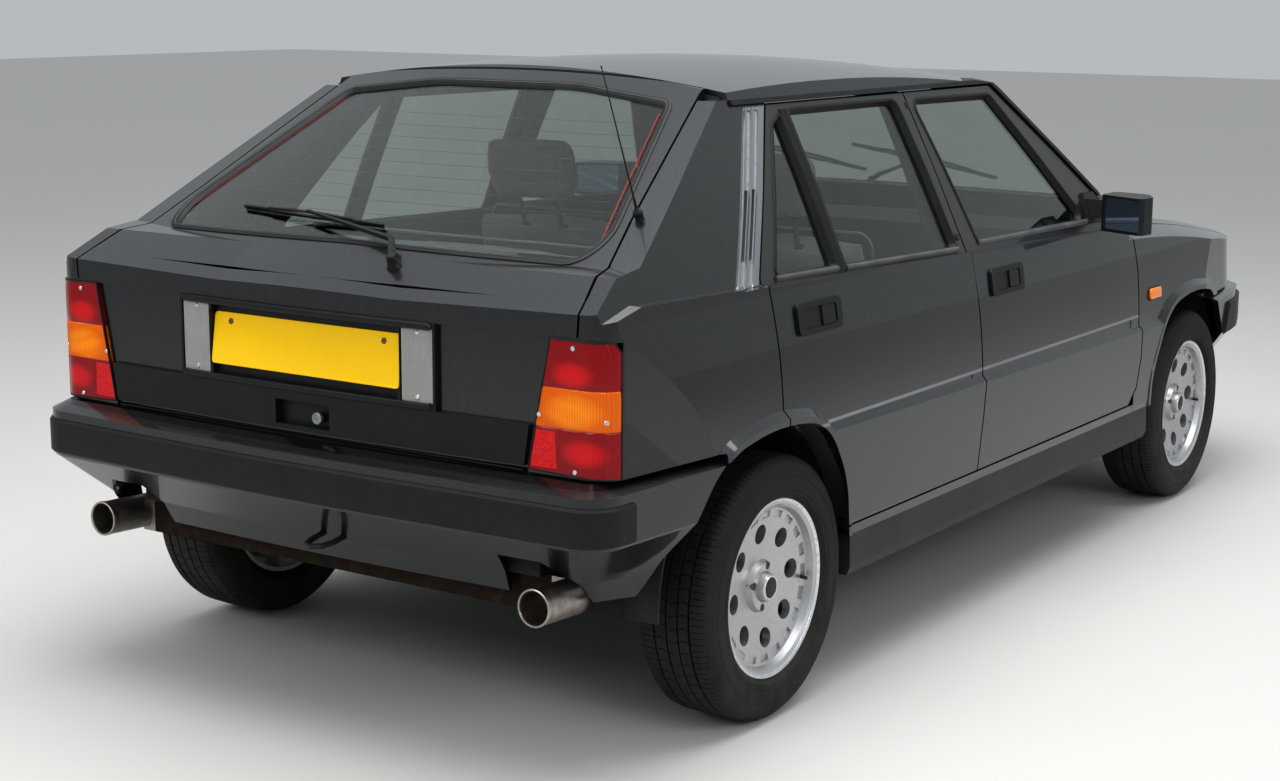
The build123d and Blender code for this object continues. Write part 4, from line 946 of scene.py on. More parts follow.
glassSeal = [(9, 0.2), (8, 2.2), (3, 3.5), (-1, 3.2), (-3, 1.5), (-5, 1.8), (-9, -0.5), (-13, -4.5),
             (-14, -6), (-10, -6.2), (0, -5)]
brightLine = [(-1.5, 3.0), (-1.2, 3.9), (-2.6, 3.6), (-3.0, 2.0)]
backlight = twoSided([(0, 1022, 2500), (612, 1013, 45), (460, 1303, 40), (200, 1332, 900)])
windscreen = twoSided([(655, 962, 40), (522, 1280, 35), (250, 1306, 900)])
for name, rows, skin, body in (("rear", backlight, tailSkin(), "hatch"),
                               ("front", windscreen, screenSkin(), "shell")):
    path = [skin(p.x, p.y) for p in roundedOutline(rows, 45, 7)]
    bm = bmesh.new()
    addSweep(bm, path, glassSeal, closed=True)
    makePiece("screen_seal_" + name, bm, "rubber", body, sharp=42)
    bm = bmesh.new()
    addSweep(bm, path, brightLine, closed=True)
    makePiece("screen_seal_insert_" + name, bm, "greySeal", body, sharp=42)

heaterSizes = {"first": 1052, "last": 1292, "step": 24, "inset": 42, "lift": -11.4, "radius": 0.0005}


def addHeaterLines(bm):
    skin = tailSkin(heaterSizes["lift"])
    for z in range(heaterSizes["first"], heaterSizes["last"], heaterSizes["step"]):
        half = 612 - (z - 1013) * 0.524 - heaterSizes["inset"]
        addPath(bm, [skin(y, z)[0] for y in spread(-half, half, 14)])


lines = runTree("heaterWires", "tube", mesh=meshFrom("heaterPath", addHeaterLines), finish="heater",
                Radius=heaterSizes["radius"])
addPiece("rear_window_heater", lines, "heater", "hatch")
bm = bmesh.new()
skin = tailSkin(-5.6)
for side in (1, -1):
    path = [skin(side * (584 - (z - 1030) * 0.524), z) for z in spread(1036, 1286, 10)]
    addSweep(bm, path, [(-1.6, 0), (1.6, 0), (1.6, 0.5), (-1.6, 0.5)])
makePiece("rear_window_red_line", bm, "redLine", "hatch")
print("seals, heater wires and window lines")

ventShape = [(-92, 936), (-2, 936), (284, 1290), (196, 1290)]
ventWidth = 90
ventRibs = ((4, 10, 3.4), (33, 41, 3.4), (64, 88, 2.6))   # from, to across the panel and height
ventSlots = ((13, 30), (44, 60))


def ventHeight(u, v):
    across = u * ventWidth
    for low, high, rise in ventRibs:
        if low <= across <= high:
            return rise
    if 0.15 <= v <= 0.53 and any(low <= across <= high for low, high in ventSlots):
        return -14.0
    return -2.0 if 3 < across < 89 and 0.02 < v < 0.98 else 1.0


def ventIndex(u, v):
    across = u * ventWidth
    rib = any(low - 0.7 <= across <= high + 0.7 for low, high, rise in ventRibs)
    return 0 if rib or across < 3 or v < 0.02 or v > 0.98 else 1


def edgesAround(marks, gap):
    return sorted({0.0, 1.0} | {min(1.0, max(0.0, m + s * gap)) for m in marks for s in (-1, 1)})


for sideName, side in sides.items():
    skin = sideSkin(side)

    def ventPlace(u, v):
        (xa, za), (xb, zb), (xc, zc), (xd, zd) = ventShape
        x = (xa + (xb - xa) * u) * (1 - v) + (xd + (xc - xd) * u) * v
        return skin(x, za + (zd - za) * v)

    marks = [m / ventWidth for strip in ventRibs + ventSlots for m in strip[:2]]
    bm = bmesh.new()
    addRelief(bm, ventPlace, edgesAround(marks, 0.006),
              edgesAround([0.02, 0.15, 0.27, 0.4, 0.53, 0.75, 0.98], 0.003), ventHeight, 20.0, ventIndex)
    makePiece("vent_panel_" + sideName, bm, ["silver", "satinBlack"], "shell", ["pillar_vents"],
              35)

lampSizes = {"columns": 230, "bands": (722, 801), "ribPitch": 6.0, "ribHeight": 0.7, "ridge": 745,
             "rays": 150, "reflector": (642, 716, 640),
             "screws": ((678, 880), (600, 745), (745, 742), (683, 641))}
# the CAD lamp's edges: a point on each, its slope, and the station where its side ends
lampEdges = {"foot": (573, 636, -8 / 227), "top": (624, 896, -3 / 176), "inner": (636, 573, 51 / 260),
             "front": -545.5}


def edgeAt(key, across):
    start, level, slope = lampEdges[key]
    return level + (across - start) * slope


# rows of points on the CAD lamp, from its inner edge round the corner to its front edge
def lampGrid(tree, side, heights):
    axis = spot(-480, 640 * side, 0)
    grid = []
    for v in heights:
        hits = []
        for k in range(lampSizes["rays"]):
            angle = math.radians(214 - 104 * k / (lampSizes["rays"] - 1))
            out = Vector((math.cos(angle), side * math.sin(angle), 0))
            z, hit = 0.636 + 0.258 * v, None
            for again in range(2):
                start = Vector((axis.x, axis.y, z)) + out * 0.5
                hit, normal = castOn(tree, start, -out)
                if hit is None:
                    break
                across = abs(hit.y) * 1000
                low, high = (edgeAt(key, across) for key in ("foot", "top"))
                z = (low + 1 + (high - low - 2) * v) / 1000
            if hit is None:
                continue
            outside = abs(hit.y) * 1000 > edgeAt("inner", hit.z * 1000) + 1
            if outside and hit.x <= spot(lampEdges["front"], 0, 0).x:
                hits.append(hit)
        grid.append(hits)
    out = []
    for hits in grid:
        total = [0.0]
        for a, b in zip(hits, hits[1:]):
            total.append(total[-1] + (b - a).length)
        row, k = [], 0
        for i in range(lampSizes["columns"]):
            want = total[-1] * i / (lampSizes["columns"] - 1)
            while k < len(total) - 2 and total[k + 1] < want:
                k += 1
            part = (want - total[k]) / max(1e-9, total[k + 1] - total[k])
            row.append((hits[k].lerp(hits[k + 1], min(1.0, part)), want * 1000))
        out.append(row)
    return out


def lampHeight(point, run):
    z, across, high = point.z * 1000, abs(point.y) * 1000, 0.0
    if lampSizes["bands"][0] < z < lampSizes["bands"][1] and run < 190:
        high += lampSizes["ribHeight"] * math.cos(2 * math.pi * run / lampSizes["ribPitch"])
    for band in lampSizes["bands"]:
        high -= 1.6 * max(0.0, 1 - abs(z - band) / 3.0)
    high += 1.5 * max(0.0, 1 - abs(across - lampSizes["ridge"]) / 3.5)
    foot, top, edge = lampSizes["reflector"]
    if foot < z < top and across < edge:
        high -= 0.8
    return high


lampTree = nodeTree("tail_lamps")
lampScrew = [(-2, 5), (0.8, 5), (1.6, 4), (1.6, 1.6), (0.6, 1.4), (0.6, 0)]
lampGasket = [(-1, -6), (-1, 0.6), (0.6, 1.2), (2.2, 0.6), (2.2, -6)]
lampMarks = [band + step for band in lampSizes["bands"] + lampSizes["reflector"][:2]
             for step in (-3, -1.5, 0, 1.5, 3)]
lampRows = sorted(set(spread(0.0, 1.0, 15)) | {(z - 634.5) / 259 for z in lampMarks})
for sideName, side in sides.items():
    grid = lampGrid(lampTree, side, lampRows)
    rows, columns = len(grid), lampSizes["columns"]

    def lampPlace(i, j):
        point = grid[j][i][0]
        along = grid[j][min(i + 2, columns - 1)][0] - grid[j][max(i - 2, 0)][0]
        upward = grid[min(j + 1, rows - 1)][i][0] - grid[max(j - 1, 0)][i][0]
        normal = along.cross(upward).normalized()
        return point, (-normal if normal.dot(Vector((-1, side, 0))) < 0 else normal)

    bm = bmesh.new()
    addRelief(bm, lampPlace, range(columns), range(rows), lambda i, j: lampHeight(*grid[j][i]) - 0.3, 22.0)
    makePiece("tail_lamp_" + sideName, bm, "tailLens", "shell", ["tail_lamps"], 30)
    bm = bmesh.new()
    for across, z in lampSizes["screws"]:
        centre, normal = fromBehind(lampTree, across * side, z)
        if centre is not None:
            addTurned(bm, lampScrew, centre, normal, 18)
    makePiece("tail_lamp_screws_" + sideName, bm, "chrome", "shell")
    bm = bmesh.new()
    border = [(i, 0) for i in range(0, columns, 6)] + [(columns - 1, j) for j in range(1, rows, 2)]
    border += [(i, rows - 1) for i in range(columns - 6, 0, -6)] + [(0, j) for j in range(rows - 1, 0, -2)]
    addSweep(bm, [lampPlace(i, j) for i, j in border], lampGasket, closed=True)
    makePiece("tail_lamp_gasket_" + sideName, bm, "rubber", "shell")
print("vents and tail lamps")


def roundRect(half, high, radius, inset=0.0):
    turns = ((-1, -1), (1, -1), (1, 1), (-1, 1))
    rows = [(a * (half - inset), b * (high - inset), max(0.5, radius - inset)) for a, b in turns]
    return roundedOutline(rows, 5000, 4)


# a rounded pad that rises along minus x of the matrix: levels of inset and lift
def addPad(bm, matrix, half, high, radius, levels):
    rings = []
    for inset, lift in levels:
        outline = roundRect(half, high, radius, inset)
        rings.append([matrix @ Vector((-lift / 1000, p.x / 1000, p.y / 1000)) for p in outline])
    addRings(bm, rings)


# a matrix whose minus x axis points along a surface's normal
def onSurface(point, normal):
    x = -Vector(normal).normalized()
    y = Vector((0, 0, 1)).cross(x).normalized()
    return Matrix.Translation(point) @ Matrix((x, y, x.cross(y))).transposed().to_4x4()


def addScrew(bm, point, normal, radius, rise):
    half, low = rise * 0.5, rise * 0.4
    profile = [(-1.5, radius), (half, radius), (rise, radius * 0.8), (rise, radius * 0.32)]
    profile += [(low, radius * 0.28), (low, 0)]
    addTurned(bm, profile, point, normal, 20)


backwards, forwards = Vector((-1, 0, 0)), Vector((1, 0, 0))
plateSizes = {"place": (-592, 0, 812), "lean": 8.6, "half": 260, "high": 55.5, "corner": 8,
              "edge": [(0, 0), (0, 2.3), (0.7, 3.0), (3.0, 3.1), (4.2, 2.5)], "screws": (212, 37),
              "screw": (6.5, 2.2)}
plateMatrix = tilted(*plateSizes["place"], plateSizes["lean"])
bm = bmesh.new()
addPad(bm, plateMatrix, *(plateSizes[key] for key in ("half", "high", "corner", "edge")))
makePiece("number_plate_board", bm, "plate", "hatch", ["number_plate"], 30)
bm = bmesh.new()
for side in (1, -1):
    across, up = plateSizes["screws"]
    screw = plateMatrix @ Vector((-0.0024, side * across / 1000, up / 1000))
    addScrew(bm, screw, plateMatrix.to_3x3() @ backwards, *plateSizes["screw"])
makePiece("number_plate_screws", bm, "bolt", "hatch")

trimTree, lensTree = nodeTree("tailgate_trim", "tailgate"), nodeTree("reverse_lamps")
frameOutline = [(-344, 729, 10), (344, 729, 10), (344, 891, 10), (-344, 891, 10)]
frameProfile = [(-7, -3), (-7, 2.5), (-4, 4.6), (4, 4.6), (7, 2.5), (7, -3)]
bm = bmesh.new()
path = [(fromBehind(trimTree, p.x, p.y)[0], Vector((-1, 0, -0.08)).normalized())
        for p in roundedOutline(frameOutline, 60, 4)]
addSweep(bm, path, frameProfile, closed=True)
makePiece("plate_frame", bm, "satinBlack", "hatch", sharp=50)

# the reversing lamps: edges, the ribbed field in them, the smoked band and the screws
reverseSizes = {"across": (265.5, 344.5), "up": (735.5, 886.5), "ribs": (270, 340, 740, 882), "ribPitch": 5.0,
                "ribHeight": 0.9, "rim": 0.4, "band": (785, 837), "screws": ((305, 746), (305, 876)),
                "screw": (5.0, 2.4)}


def reverseHeight(y, z):
    left, right, foot, top = reverseSizes["ribs"]
    if left < y < right and foot < z < top:
        return reverseSizes["ribHeight"] * math.cos(2 * math.pi * y / reverseSizes["ribPitch"])
    return reverseSizes["rim"]


def reverseIndex(y, z):
    return 1 if reverseSizes["band"][0] < z < reverseSizes["band"][1] else 0


bm = bmesh.new()
for side in (1, -1):
    def reversePlace(y, z):
        return fromBehind(lensTree, side * y, z)[0], Vector((-1, 0, -0.1)).normalized()

    bandEdges = {z + step for z in reverseSizes["band"] for step in (-1, 1)}
    heights = sorted(set(spread(*reverseSizes["up"], 9)) | bandEdges)
    widths = spread(*reverseSizes["across"], 65)
    addRelief(bm, reversePlace, widths, heights, reverseHeight, 9.0, reverseIndex)
makePiece("reverse_lamp_lenses", bm, ["ribbedLens", "smokedLens"], "hatch", ["reverse_lamps"],
          30)
bm = bmesh.new()
for side in (1, -1):
    for y, z in reverseSizes["screws"]:
        addScrew(bm, fromBehind(lensTree, side * y, z)[0], backwards, *reverseSizes["screw"])
makePiece("reverse_lamp_screws", bm, "chrome", "hatch")
lockPlace = (-42, 672)
lockProfile = [(-6, 13), (1.5, 13), (3, 11.5), (3, 8), (1.6, 7.6), (1.6, 2.5), (0.2, 2.2), (0.2, 0)]
bm = bmesh.new()
addTurned(bm, lockProfile, fromBehind(trimTree, *lockPlace)[0], backwards, 28)
makePiece("hatch_lock", bm, "silver", "hatch")
print("plate, reversing lamps and lock")


# an arm or blade that follows places (across, height, lift) over a screen
def addOver(bm, skinMaker, stops, widths):
    points = [skinMaker(lift)(y, z) for y, z, lift in stops]
    for k in range(len(points) - 1):
        (p, up), (q, _) = points[k], points[k + 1]
        across = (q - p).cross(up).normalized()
        rings = []
        for point, (w, h) in ((p, widths[k]), (q, widths[k + 1])):
            rings.append([point + across * (a * w / 2000) + up * (b * h / 2000)
                          for a, b in ((-1, -0.6), (-0.6, 1), (0.6, 1), (1, -0.6), (0.6, -1), (-0.6, -1))])
        addRings(bm, rings)


wiperPivot = [(-2, 17), (3, 16), (7, 13), (20, 10.5), (27, 10), (30, 7.5), (31, 0)]
wiperRubber = [(-0.8, -5.6), (0.8, -5.6), (1.4, 0), (3.2, 2.2), (-3.2, 2.2), (-1.4, 0)]
wiperArm = {"lift": 22, "rise": 3, "end": 15, "widths": [(17, 12), (14, 11), (7, 6)], "bow": 12}
wiperBows = ((0.0, 3.5, 6), (0.2, 8.5, 7))   # where along the blade, its lift and its width


def addWiper(bm, skinMaker, pivot, elbow, middle, ends):
    base, normal = skinMaker(0)(*pivot)
    addTurned(bm, wiperPivot, base, normal, 24)
    lift = wiperArm["lift"]
    stops = [pivot + (lift,), elbow + (lift + wiperArm["rise"],), middle + (wiperArm["end"],)]
    addOver(bm, skinMaker, stops, wiperArm["widths"])
    (ya, za), (yb, zb) = ends

    def along(k):
        return ya + (yb - ya) * k, za + (zb - za) * k

    for k, lift, wide in wiperBows:
        near, far = 0.5 - (0.5 - k) * 0.5, 0.5 + (0.5 - k) * 0.5
        lifts = ((k, lift), (near, lift + 3), (0.5, wiperArm["bow"]), (far, lift + 3), (1 - k, lift))
        addOver(bm, skinMaker, [along(t) + (high,) for t, high in lifts],
                [(wide, 2.4), (wide + 1, 3), (wide + 3, 4), (wide + 1, 3), (wide, 2.4)])
    addSweep(bm, [skinMaker(0)(*along(t)) for t in spread(0, 1, 9)], wiperRubber)


# pivot, elbow, middle of the blade and the blade's ends
rearWiper = [((-178, 987), (-136, 1017), (165, 1057), ((385, 1062), (-55, 1052)))]
frontWipers = [((y, 948), (y - 40, 966), (y - 255, 1046), ((y - 470, 1004), (y - 40, 1088)))
               for y in (80, 520)]
for places, name, skinMaker, body, node in (
        (rearWiper, "rear_wiper_arm_and_blade", tailSkin, "hatch", "rear_wiper"),
        (frontWipers, "front_wiper_arms_and_blades", screenSkin, "shell", "front_wipers")):
    bm = bmesh.new()
    for place in places:
        addWiper(bm, skinMaker, *place)
    makePiece(name, bm, "satinBlack", body, [node], 40)

aerialPlaces = {"foot": (-266, -616, 1084), "collar": (-281, -614, 1112), "tip": (-416, -622, 1399)}
aerialFoot = [(-8, 12), (4, 12), (7, 10), (18, 9), (20, 10.5), (27, 10.5), (30, 8), (34, 4), (37, 3), (37, 0)]
aerialTip = [(-3, 0), (-2.4, 1.6), (0, 2.3), (1.2, 1.6), (1.6, 0)]
bm = bmesh.new()
foot, collar, tip = (spot(*aerialPlaces[key]) for key in ("foot", "collar", "tip"))
addTurned(bm, aerialFoot, foot, collar - foot, 24)
addRod(bm, collar, collar.lerp(tip, 0.09), 3.2, 2.6)
addRod(bm, collar.lerp(tip, 0.085), tip, 1.9, 1.1)
addTurned(bm, aerialTip, tip, tip - collar, 12)
makePiece("aerial_mast", bm, "satinBlack", "shell", ["aerial"], 40)
print("wipers and aerial")

lampPlaces = {"outer": (598, 3096), "inner": (440, 3110), "height": 662}
lampRibs = {"pitch": 7, "count": 5, "reach": 38, "profile": [(-1.6, -1), (-1, 0.5), (1, 0.5), (1.6, -1)]}
bulbBowl = [(1, 41), (-1, 40), (-11, 34), (-21, 22), (-27, 8), (-28, 0), (-26, 0), (-24, 24), (-9, 38),
            (-1.5, 41)]
headLens = [(-6, 0), (-6, 41), (-2.6, 41), (-0.8, 38), (0.6, 20), (0.9, 0)]
bezel = [(-29, 46), (-1, 46), (1, 45), (1, 41.5), (-3, 40.5), (-27, 40.5)]
for part, finish in (("bowls", "chrome"), ("lenses", "lens"), ("bezels", "blackTrim")):
    bm = bmesh.new()
    for side in (1, -1):
        for key in ("outer", "inner"):
            y, face = lampPlaces[key]
            centre = spot(face, y * side, lampPlaces["height"])
            if part == "bowls":
                addTurned(bm, bulbBowl, centre, forwards, 48, closed=True)
                addRod(bm, centre - forwards * 0.024, centre - forwards * 0.008, 5, 4)
            elif part == "bezels":
                addTurned(bm, bezel, centre, forwards, 48, closed=True)
            else:
                addTurned(bm, headLens, centre, forwards, 48)
                for k in range(-lampRibs["count"], lampRibs["count"] + 1):
                    across = k * lampRibs["pitch"]
                    half = math.sqrt(lampRibs["reach"] ** 2 - across ** 2)
                    rib = [(centre + Vector((0.0002, across / 1000, t / 1000)), forwards)
                           for t in spread(-half, half, 6)]
                    addSweep(bm, rib, lampRibs["profile"])
    makePiece("headlamp_" + part, bm, finish, "shell", ["headlamps"], 40)

grilleOutline = [(-343, 614, 6), (343, 614, 6), (343, 704, 6), (-343, 704, 6)]
grilleProfile = [(-4, -8), (-4, 1), (-2, 2.5), (2, 2.5), (4, 1), (4, -8)]
nose = {"station": 3145.7, "bow": 11000, "lean": 0.19, "foot": 566}
bm = bmesh.new()
path = []
for p in roundedOutline(grilleOutline, 50, 3):
    x = nose["station"] - p.x ** 2 / nose["bow"] - nose["lean"] * (p.y - nose["foot"])
    path.append((spot(x, p.x, p.y), Vector((1, 0, nose["lean"])).normalized()))
addSweep(bm, path, grilleProfile, closed=True)
makePiece("grille_surround", bm, "chrome", "shell", sharp=50)

repeaterSizes = {"station": 2153, "height": 672, "half": 42, "high": 16, "corner": 9}
for part, finish, slot, grow, low, high in (("base", "blackTrim", "black_plastic", 4, -3, 3.0),
                                            ("lens", "amber", "yellow_plate", 0, 1, 9.0)):
    bm = bmesh.new()
    for sideName, side in sides.items():
        start = spot(repeaterSizes["station"], side * 1000, repeaterSizes["height"])
        hit, normal = castOn(nodeTree("front_wing_" + sideName), start, Vector((0, -side, 0)))
        levels = [(0, low), (0, high - 2.5), (1.5, high - 0.6), (4, high)]
        half, up = repeaterSizes["half"] + grow, repeaterSizes["high"] + grow
        addPad(bm, onSurface(hit, normal), half, up, repeaterSizes["corner"], levels)
    makePiece("side_repeater_" + part, bm, finish, "shell")

indicatorSizes = {"place": (560, 520), "half": 62, "high": 22, "corner": 8,
                  "edge": [(0, -6), (0, -1.5), (1.5, -0.4), (4, 0)]}
bm = bmesh.new()
for side in (1, -1):
    across, up = indicatorSizes["place"]
    hit, normal = castOn(nodeTree("rubber_strips", "front_bumper"), spot(3600, side * across, up), backwards)
    addPad(bm, onSurface(hit + forwards * 0.003, normal),
           *(indicatorSizes[key] for key in ("half", "high", "corner", "edge")))
makePiece("front_indicators", bm, "amber", "shell")
print("front lamps, grille frame and repeaters")

bm = bmesh.new()
addBlock(bm, (22, 1120, 4), tilted(-581, 0, 630.6), 1.5)
makePiece("boot_sill_seal", bm, "rubber", "shell")

exhaustPlace = {"tip": (-616, 605, 366), "back": (-440, 605, 358)}
tipRing = [(6, 33.6), (0, 33.8), (-1.8, 35), (-2.2, 36.6), (-1.2, 38.6), (2, 39.2), (8, 38.6), (14, 38.1)]
tipWall = [(120, 33.6), (121, 0), (126, 0), (127, 33.6)]
for sideName, side in sides.items():
    first, last = (spot(p[0], p[1] * side, p[2]) for p in (exhaustPlace["tip"], exhaustPlace["back"]))
    bm = bmesh.new()
    addTurned(bm, tipRing, first, last - first, 48, closed=True)
    addTurned(bm, tipWall, first, last - first, 40, closed=True)
    makePiece("exhaust_lip_" + sideName, bm, "exhaust", "shell")

towEyeStops = [(-548, -22, 424), (-606, -22, 414), (-634, -30, 411), (-644, -50, 410), (-634, -70, 411),
               (-606, -78, 414), (-548, -78, 424)]
towEyePath = meshFrom("towEyePath", lambda bm: addPath(bm, [spot(*p) for p in towEyeStops]))
eye = runTree("towEyeTube", "tube", mesh=towEyePath, finish="satinBlack", Radius=0.0065)
addPiece("tow_eye", eye, "satinBlack", "shell")

discProfile = [(-1, 9.5), (1.6, 9.5), (2.8, 8), (2.8, 4), (2.2, 3.6), (2.2, 0)]
for sideName, side in sides.items():
    bm = bmesh.new()
    point, normal = sideSkin(side)(951, 947)
    addTurned(bm, discProfile, point, normal, 28)
    makePiece("door_disc_" + sideName, bm, "satinBlack", "rear_" + sideName + "_door")

shelfSizes = {"back": -482, "front": -112, "half": 672, "level": 932, "bow": 10, "speakers": (0.16, 0.84)}
bm = bmesh.new()
xa, xb, half, level, bow = (shelfSizes[key] for key in ("back", "front", "half", "level", "bow"))


def shelfPlace(u, v):
    x = xa + (xb - xa) * v
    narrow = half - 60 * (1 - v) ** 2
    return spot(x, -narrow + 2 * narrow * u, level + bow * math.sin(math.pi * v)), Vector((0, 0, 1))


def shelfHeight(u, v):
    speaker = min(math.hypot((u - c) * 2 * half, (v - 0.55) * (xb - xa)) for c in shelfSizes["speakers"])
    high = min(0.0, min(u, 1 - u) * 60 - 4)
    if speaker < 72:
        high += 3.0
    if speaker < 66:
        high += 1.2 * math.cos(speaker * 1.2)
    return high


addRelief(bm, shelfPlace, spread(0, 1, 120), spread(0, 1, 36), shelfHeight, 9.0)
makePiece("parcel_shelf", bm, "carpet", "shell", sharp=60)
print("shelf and small parts")

padSizes = {"pressure": 4.0, "frames": 20, "shrink": 0.975, "cap": 14.0, "channel": 0.011,
            "channelWidth": 7.0, "fill": 0.85, "post": 6}
# seat pads: size, place, lean, voxel, channels across the pad (each from the middle, in millimetres)
pads = {
    "seat_cushion": ((500, 470, 126), (1130, 356, 390), -8, 7.5, (-165, -75, 15, 105), ["front_seats"]),
    "seat_back": ((106, 465, 560), (820, 356, 690), -20, 7.5, (-190, -110, -30, 50, 130), ["front_seats"]),
    "head_rest": ((78, 250, 150), (660, 356, 1075), -16, 5.0, (), ["front_seats"]),
    "bench_cushion": ((456, 1080, 146), (425, 0, 434), -6, 11.0, (-130, -40, 50), ["rear_bench"]),
    "bench_back": ((106, 1080, 556), (60, 0, 715), -22, 11.0, (-170, -80, 10, 100), ["rear_bench"]),
}


# a crowned block whose sides pull in between the corners
def padStart(size):
    bm = bmesh.new()
    bmesh.ops.create_cube(bm, size=1.0)
    bmesh.ops.subdivide_edges(bm, edges=bm.edges[:], cuts=9, use_grid_fill=True)
    sx, sy, sz = (s * padSizes["shrink"] / 1000 for s in size)
    for vertex in bm.verts:
        x, y, z = (2 * c for c in vertex.co)
        waist = 1 - 0.035 * (1 - y * y) * (1 - (z if sx > sz else x) ** 2)
        soft = 1 - 0.10 * (abs(x * y * z)) ** 1.5
        vertex.co = Vector((x * sx / 2 * waist * soft, y * sy / 2 * soft, z * sz / 2 * waist * soft))
    mesh = bpy.data.meshes.new("padStart")
    bm.to_mesh(mesh)
    bm.free()
    return mesh


def evaluated(obj):
    bpy.context.view_layer.update()
    return bpy.data.meshes.new_from_object(obj.evaluated_get(bpy.context.evaluated_depsgraph_get()))


def inflate(mesh, voxel):
    obj = newObject("padWork", mesh)
    remesh = obj.modifiers.new("remesh", "REMESH")
    remesh.mode, remesh.voxel_size = "VOXEL", voxel / 1000 * 1.0
    obj.data = evaluated(obj)
    obj.modifiers.clear()
    rest = [v.co.copy() for v in obj.data.vertices]
    cloth = obj.modifiers.new("cloth", "CLOTH")
    cloth.settings.use_pressure = True
    cloth.settings.uniform_pressure_force = padSizes["pressure"]
    cloth.settings.effector_weights.gravity = 0.0
    cloth.settings.quality = 4
    cloth.point_cache.frame_start, cloth.point_cache.frame_end = 1, padSizes["frames"]
    for step in range(1, padSizes["frames"] + 1):
        bpy.context.scene.frame_set(step)
    obj.data = evaluated(obj)
    obj.modifiers.clear()
    bpy.context.scene.frame_set(1)
    cap = padSizes["cap"] / 1000
    middle = sum((v.co for v in obj.data.vertices), Vector()) / len(rest)
    middle -= sum(rest, Vector()) / len(rest)
    for vertex, start in zip(obj.data.vertices, rest):
        move = vertex.co - middle - start
        vertex.co = start + (move * (cap / move.length) if move.length > cap else move)
    smooth = obj.modifiers.new("subdivision", "SUBSURF")
    smooth.levels = smooth.render_levels = 1
    out = evaluated(obj)
    bpy.data.objects.remove(obj)
    return out


# sewn channels pressed into the faces that are sat on, kept inside the pad's own box
def sewChannels(mesh, size, channels):
    sx, sy, sz = (s / 2000 for s in size)
    flat = size[0] > size[2]
    for vertex in mesh.vertices:
        p = vertex.co
        along, face, reach, limit = (p.x, p.z, sz, sx) if flat else (p.z, p.x, sx, sz)
        inner = max(0.0, 1 - (abs(p.y) / (sy * 0.62)) ** 8)
        dip = sum(math.exp(-((along * 1000 - c) / padSizes["channelWidth"]) ** 2) for c in channels) * inner
        border = 0.0
        if channels and abs(along) < limit * 0.86:
            border = math.exp(-((abs(p.y) - sy * 0.66) * 1000 / padSizes["channelWidth"]) ** 2)
        weight = min(1.0, max(0.0, face / reach)) * min(1.0, dip + border)
        p[2 if flat else 0] -= padSizes["channel"] * weight
        for axis, edge in enumerate((sx, sy, sz)):
            p[axis] = max(-edge - 0.004, min(edge + 0.004, p[axis]))


for name, (size, place, lean, voxel, channels, nodeNames) in pads.items():
    mesh = inflate(padStart(size), voxel)
    sewChannels(mesh, size, channels)
    mesh.transform(tilted(*place, lean))
    for sideName, side in (sides.items() if place[1] else (("middle", 1),)):
        copy = placedCopy(mesh, side=side)
        piece = addPiece(name + "_" + sideName, copy, "cloth", "shell", nodeNames, 60)
    print("pad:", name, len(mesh.polygons), "faces")


# piping round a pad's seat edge, and the frames, runners and posts that carry the pads
def addPiping(bm, size, place, lean, side):
    flat = size[0] > size[2]
    a, b, face = size if flat else size[::-1]
    matrix = tilted(*place, lean)
    row = []
    corners = [(u * (a / 2 - 9), v * (b / 2 - 9), 32) for u, v in ((-1, -1), (1, -1), (1, 1), (-1, 1))]
    for p in roundedOutline(corners, 30, 5):
        local = (p.x, p.y, face / 2 - 7) if flat else (face / 2 - 7, p.y, p.x)
        point = matrix @ Vector([c / 1000 for c in local])
        row.append(Vector((point.x, point.y * side, point.z)))
    addPath(bm, row, closed=True)


def addAllPiping(bm):
    for size, place, lean, voxel, channels, nodeNames in pads.values():
        for side in ((1, -1) if place[1] else (1,)):
            addPiping(bm, size, place, lean, side)


piping = runTree("pipingTube", "tube", mesh=meshFrom("pipingPath", addAllPiping), finish="cloth",
                 Radius=0.0035)
addPiece("seat_piping", piping, "cloth", "shell", ["front_seats", "rear_bench"])
bm = bmesh.new()
for side in (1, -1):
    y = 356 * side
    for edge in (-178, 178):
        addBlock(bm, (370, 34, 26), tilted(1145, y + edge, 254), 4)
        addBlock(bm, (300, 12, 66), tilted(1145, y + edge, 296), 4)
    addBlock(bm, (330, 350, 30), tilted(1145, y, 314, -4), 8)
    for post in (-60, 60):
        addRod(bm, spot(722, y + post, 880), spot(668, y + post, 1060), padSizes["post"])
        addTurned(bm, [(0, 13), (6, 12), (8, 7), (8, 6)], spot(716, y + post, 918), (-0.27, 0, 0.96), 20)
    addTurned(bm, [(0, 30), (14, 28), (18, 20), (18, 0)], spot(905, y + side * 236, 470), (0, side, 0), 28)
addBlock(bm, (125, 800, 46), tilted(262, 0, 355), 10)
makePiece("seat_frames", bm, "blackTrim", "shell", ["front_seats", "rear_bench"], 40)
print("seats")


stageSizes = {"floor": 60.0, "floorColour": (0.5, 0.49, 0.475, 1), "cloudColour": (0.45, 0.44, 0.425, 1),
              "skyFoot": (0.62, 0.66, 0.68, 1), "skyTop": (0.93, 0.97, 1.0, 1), "skyStrength": 0.85}


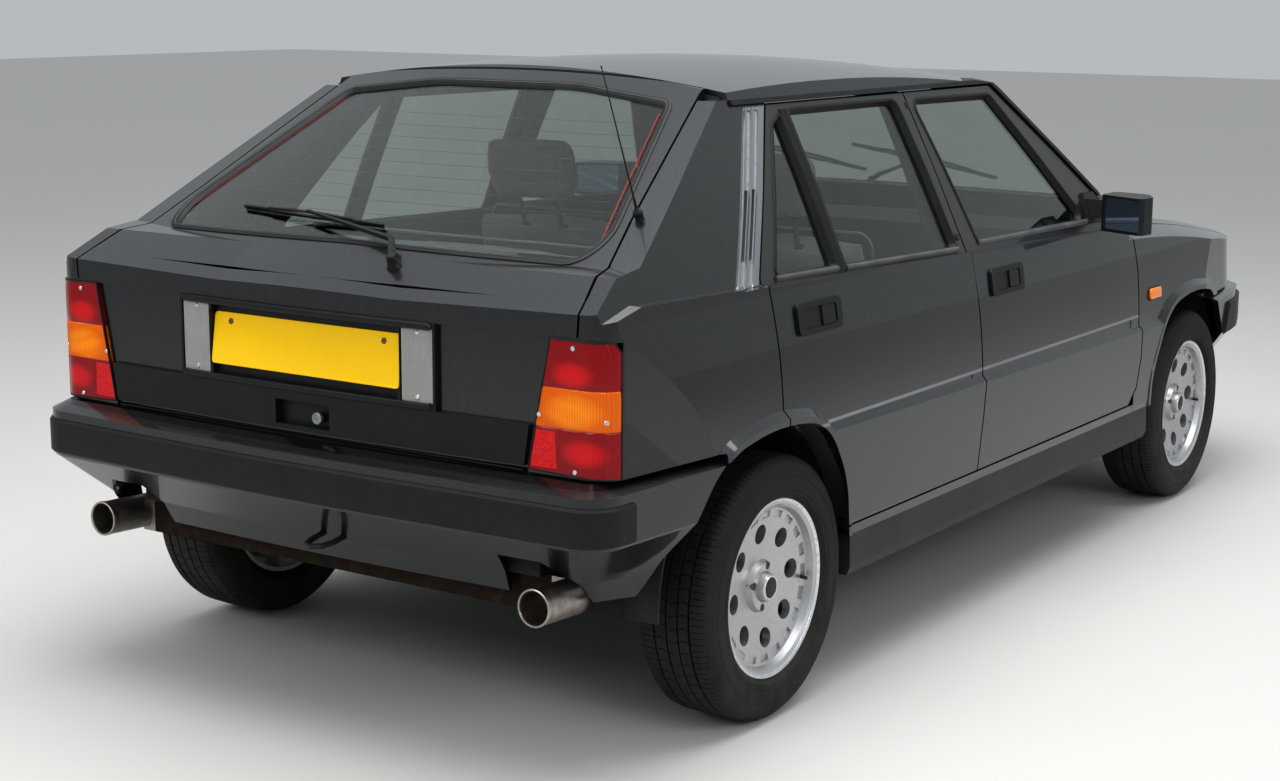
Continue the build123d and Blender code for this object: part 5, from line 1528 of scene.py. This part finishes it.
def makeStage():
    mesh = bpy.data.meshes.new("studioFloor")
    half = stageSizes["floor"] / 2
    corners = [(a * half, b * half, -0.001) for a, b in ((-1, -1), (1, -1), (1, 1), (-1, 1))]
    mesh.from_pydata(corners, [], [(0, 1, 2, 3)])
    floor = newObject("studioFloor", mesh)
    material, t, shader = newMaterial("floorPaint", Roughness=0.75)
    cloud = t.times(t.noise(t.place(), 3.0, 5.0, 0.6), 0.25)
    fillShader(t, shader, Base_Color=t.mix(cloud, stageSizes["floorColour"], stageSizes["cloudColour"]))
    mesh.materials.append(material)
    world = bpy.data.worlds.new("studioSky")
    bpy.context.scene.world = world
    world.use_nodes = True
    t = Tree(world.node_tree)
    background = world.node_tree.nodes["Background"]
    up = t.xyz(t.add("ShaderNodeTexCoord").outputs["Generated"])[2]
    t.link(t.mix(t.ramp(up, 0.0, 0.75), stageSizes["skyFoot"], stageSizes["skyTop"]),
           background.inputs["Color"])
    background.inputs["Strength"].default_value = stageSizes["skyStrength"]


# place, what it is turned to, size in metres and power
softboxes = {"topSoftbox": ((-0.6, -0.6, 5.2), (-0.3, 0, 0), (6.0, 4.0), 420),
             "sideSoftbox": ((-2.5, -5.5, 3.2), (0, 0, 0.6), (4.5, 1.6), 110),
             "rearSoftbox": ((-6.0, 1.2, 3.4), (-1.5, 0, 0.6), (3.5, 1.6), 90)}


def addLight(name, place, target, size, power):
    data = bpy.data.lights.new(name, "AREA")
    data.shape = "RECTANGLE"
    data.size, data.size_y = size
    data.energy = power
    light = newObject(name, data)
    light.location = place
    light.rotation_euler = (Vector(target) - Vector(place)).to_track_quat("-Z", "Y").to_euler()


makeStage()
for name, light in softboxes.items():
    addLight(name, *light)

# the camera as solved from the photograph: the shift is in pixels of its width
cameraView = {"sensor": 36.0, "lens": 59.70, "shift": (-5.94, 1.26), "width": 1280, "end": 200.0,
              "place": (-5.0620, -2.98963, 1.56412),
              "axes": ((0.55866, -0.82938, 0.00580), (0.15511, 0.11135, 0.98160),
                       (-0.81477, -0.54748, 0.19085))}
camera = newObject("photoCamera", bpy.data.cameras.new("photoCamera"))
camera.data.sensor_width, camera.data.lens = cameraView["sensor"], cameraView["lens"]
camera.data.shift_x, camera.data.shift_y = (shift / cameraView["width"] for shift in cameraView["shift"])
camera.data.clip_end = cameraView["end"]
turn = Matrix(cameraView["axes"]).transposed().to_4x4()
camera.matrix_world = Matrix.Translation(cameraView["place"]) @ turn
bpy.context.scene.camera = camera
view = bpy.context.scene.view_settings
view.view_transform, view.look, view.exposure = "Standard", "Medium High Contrast", -0.35
print("stage and camera ready")
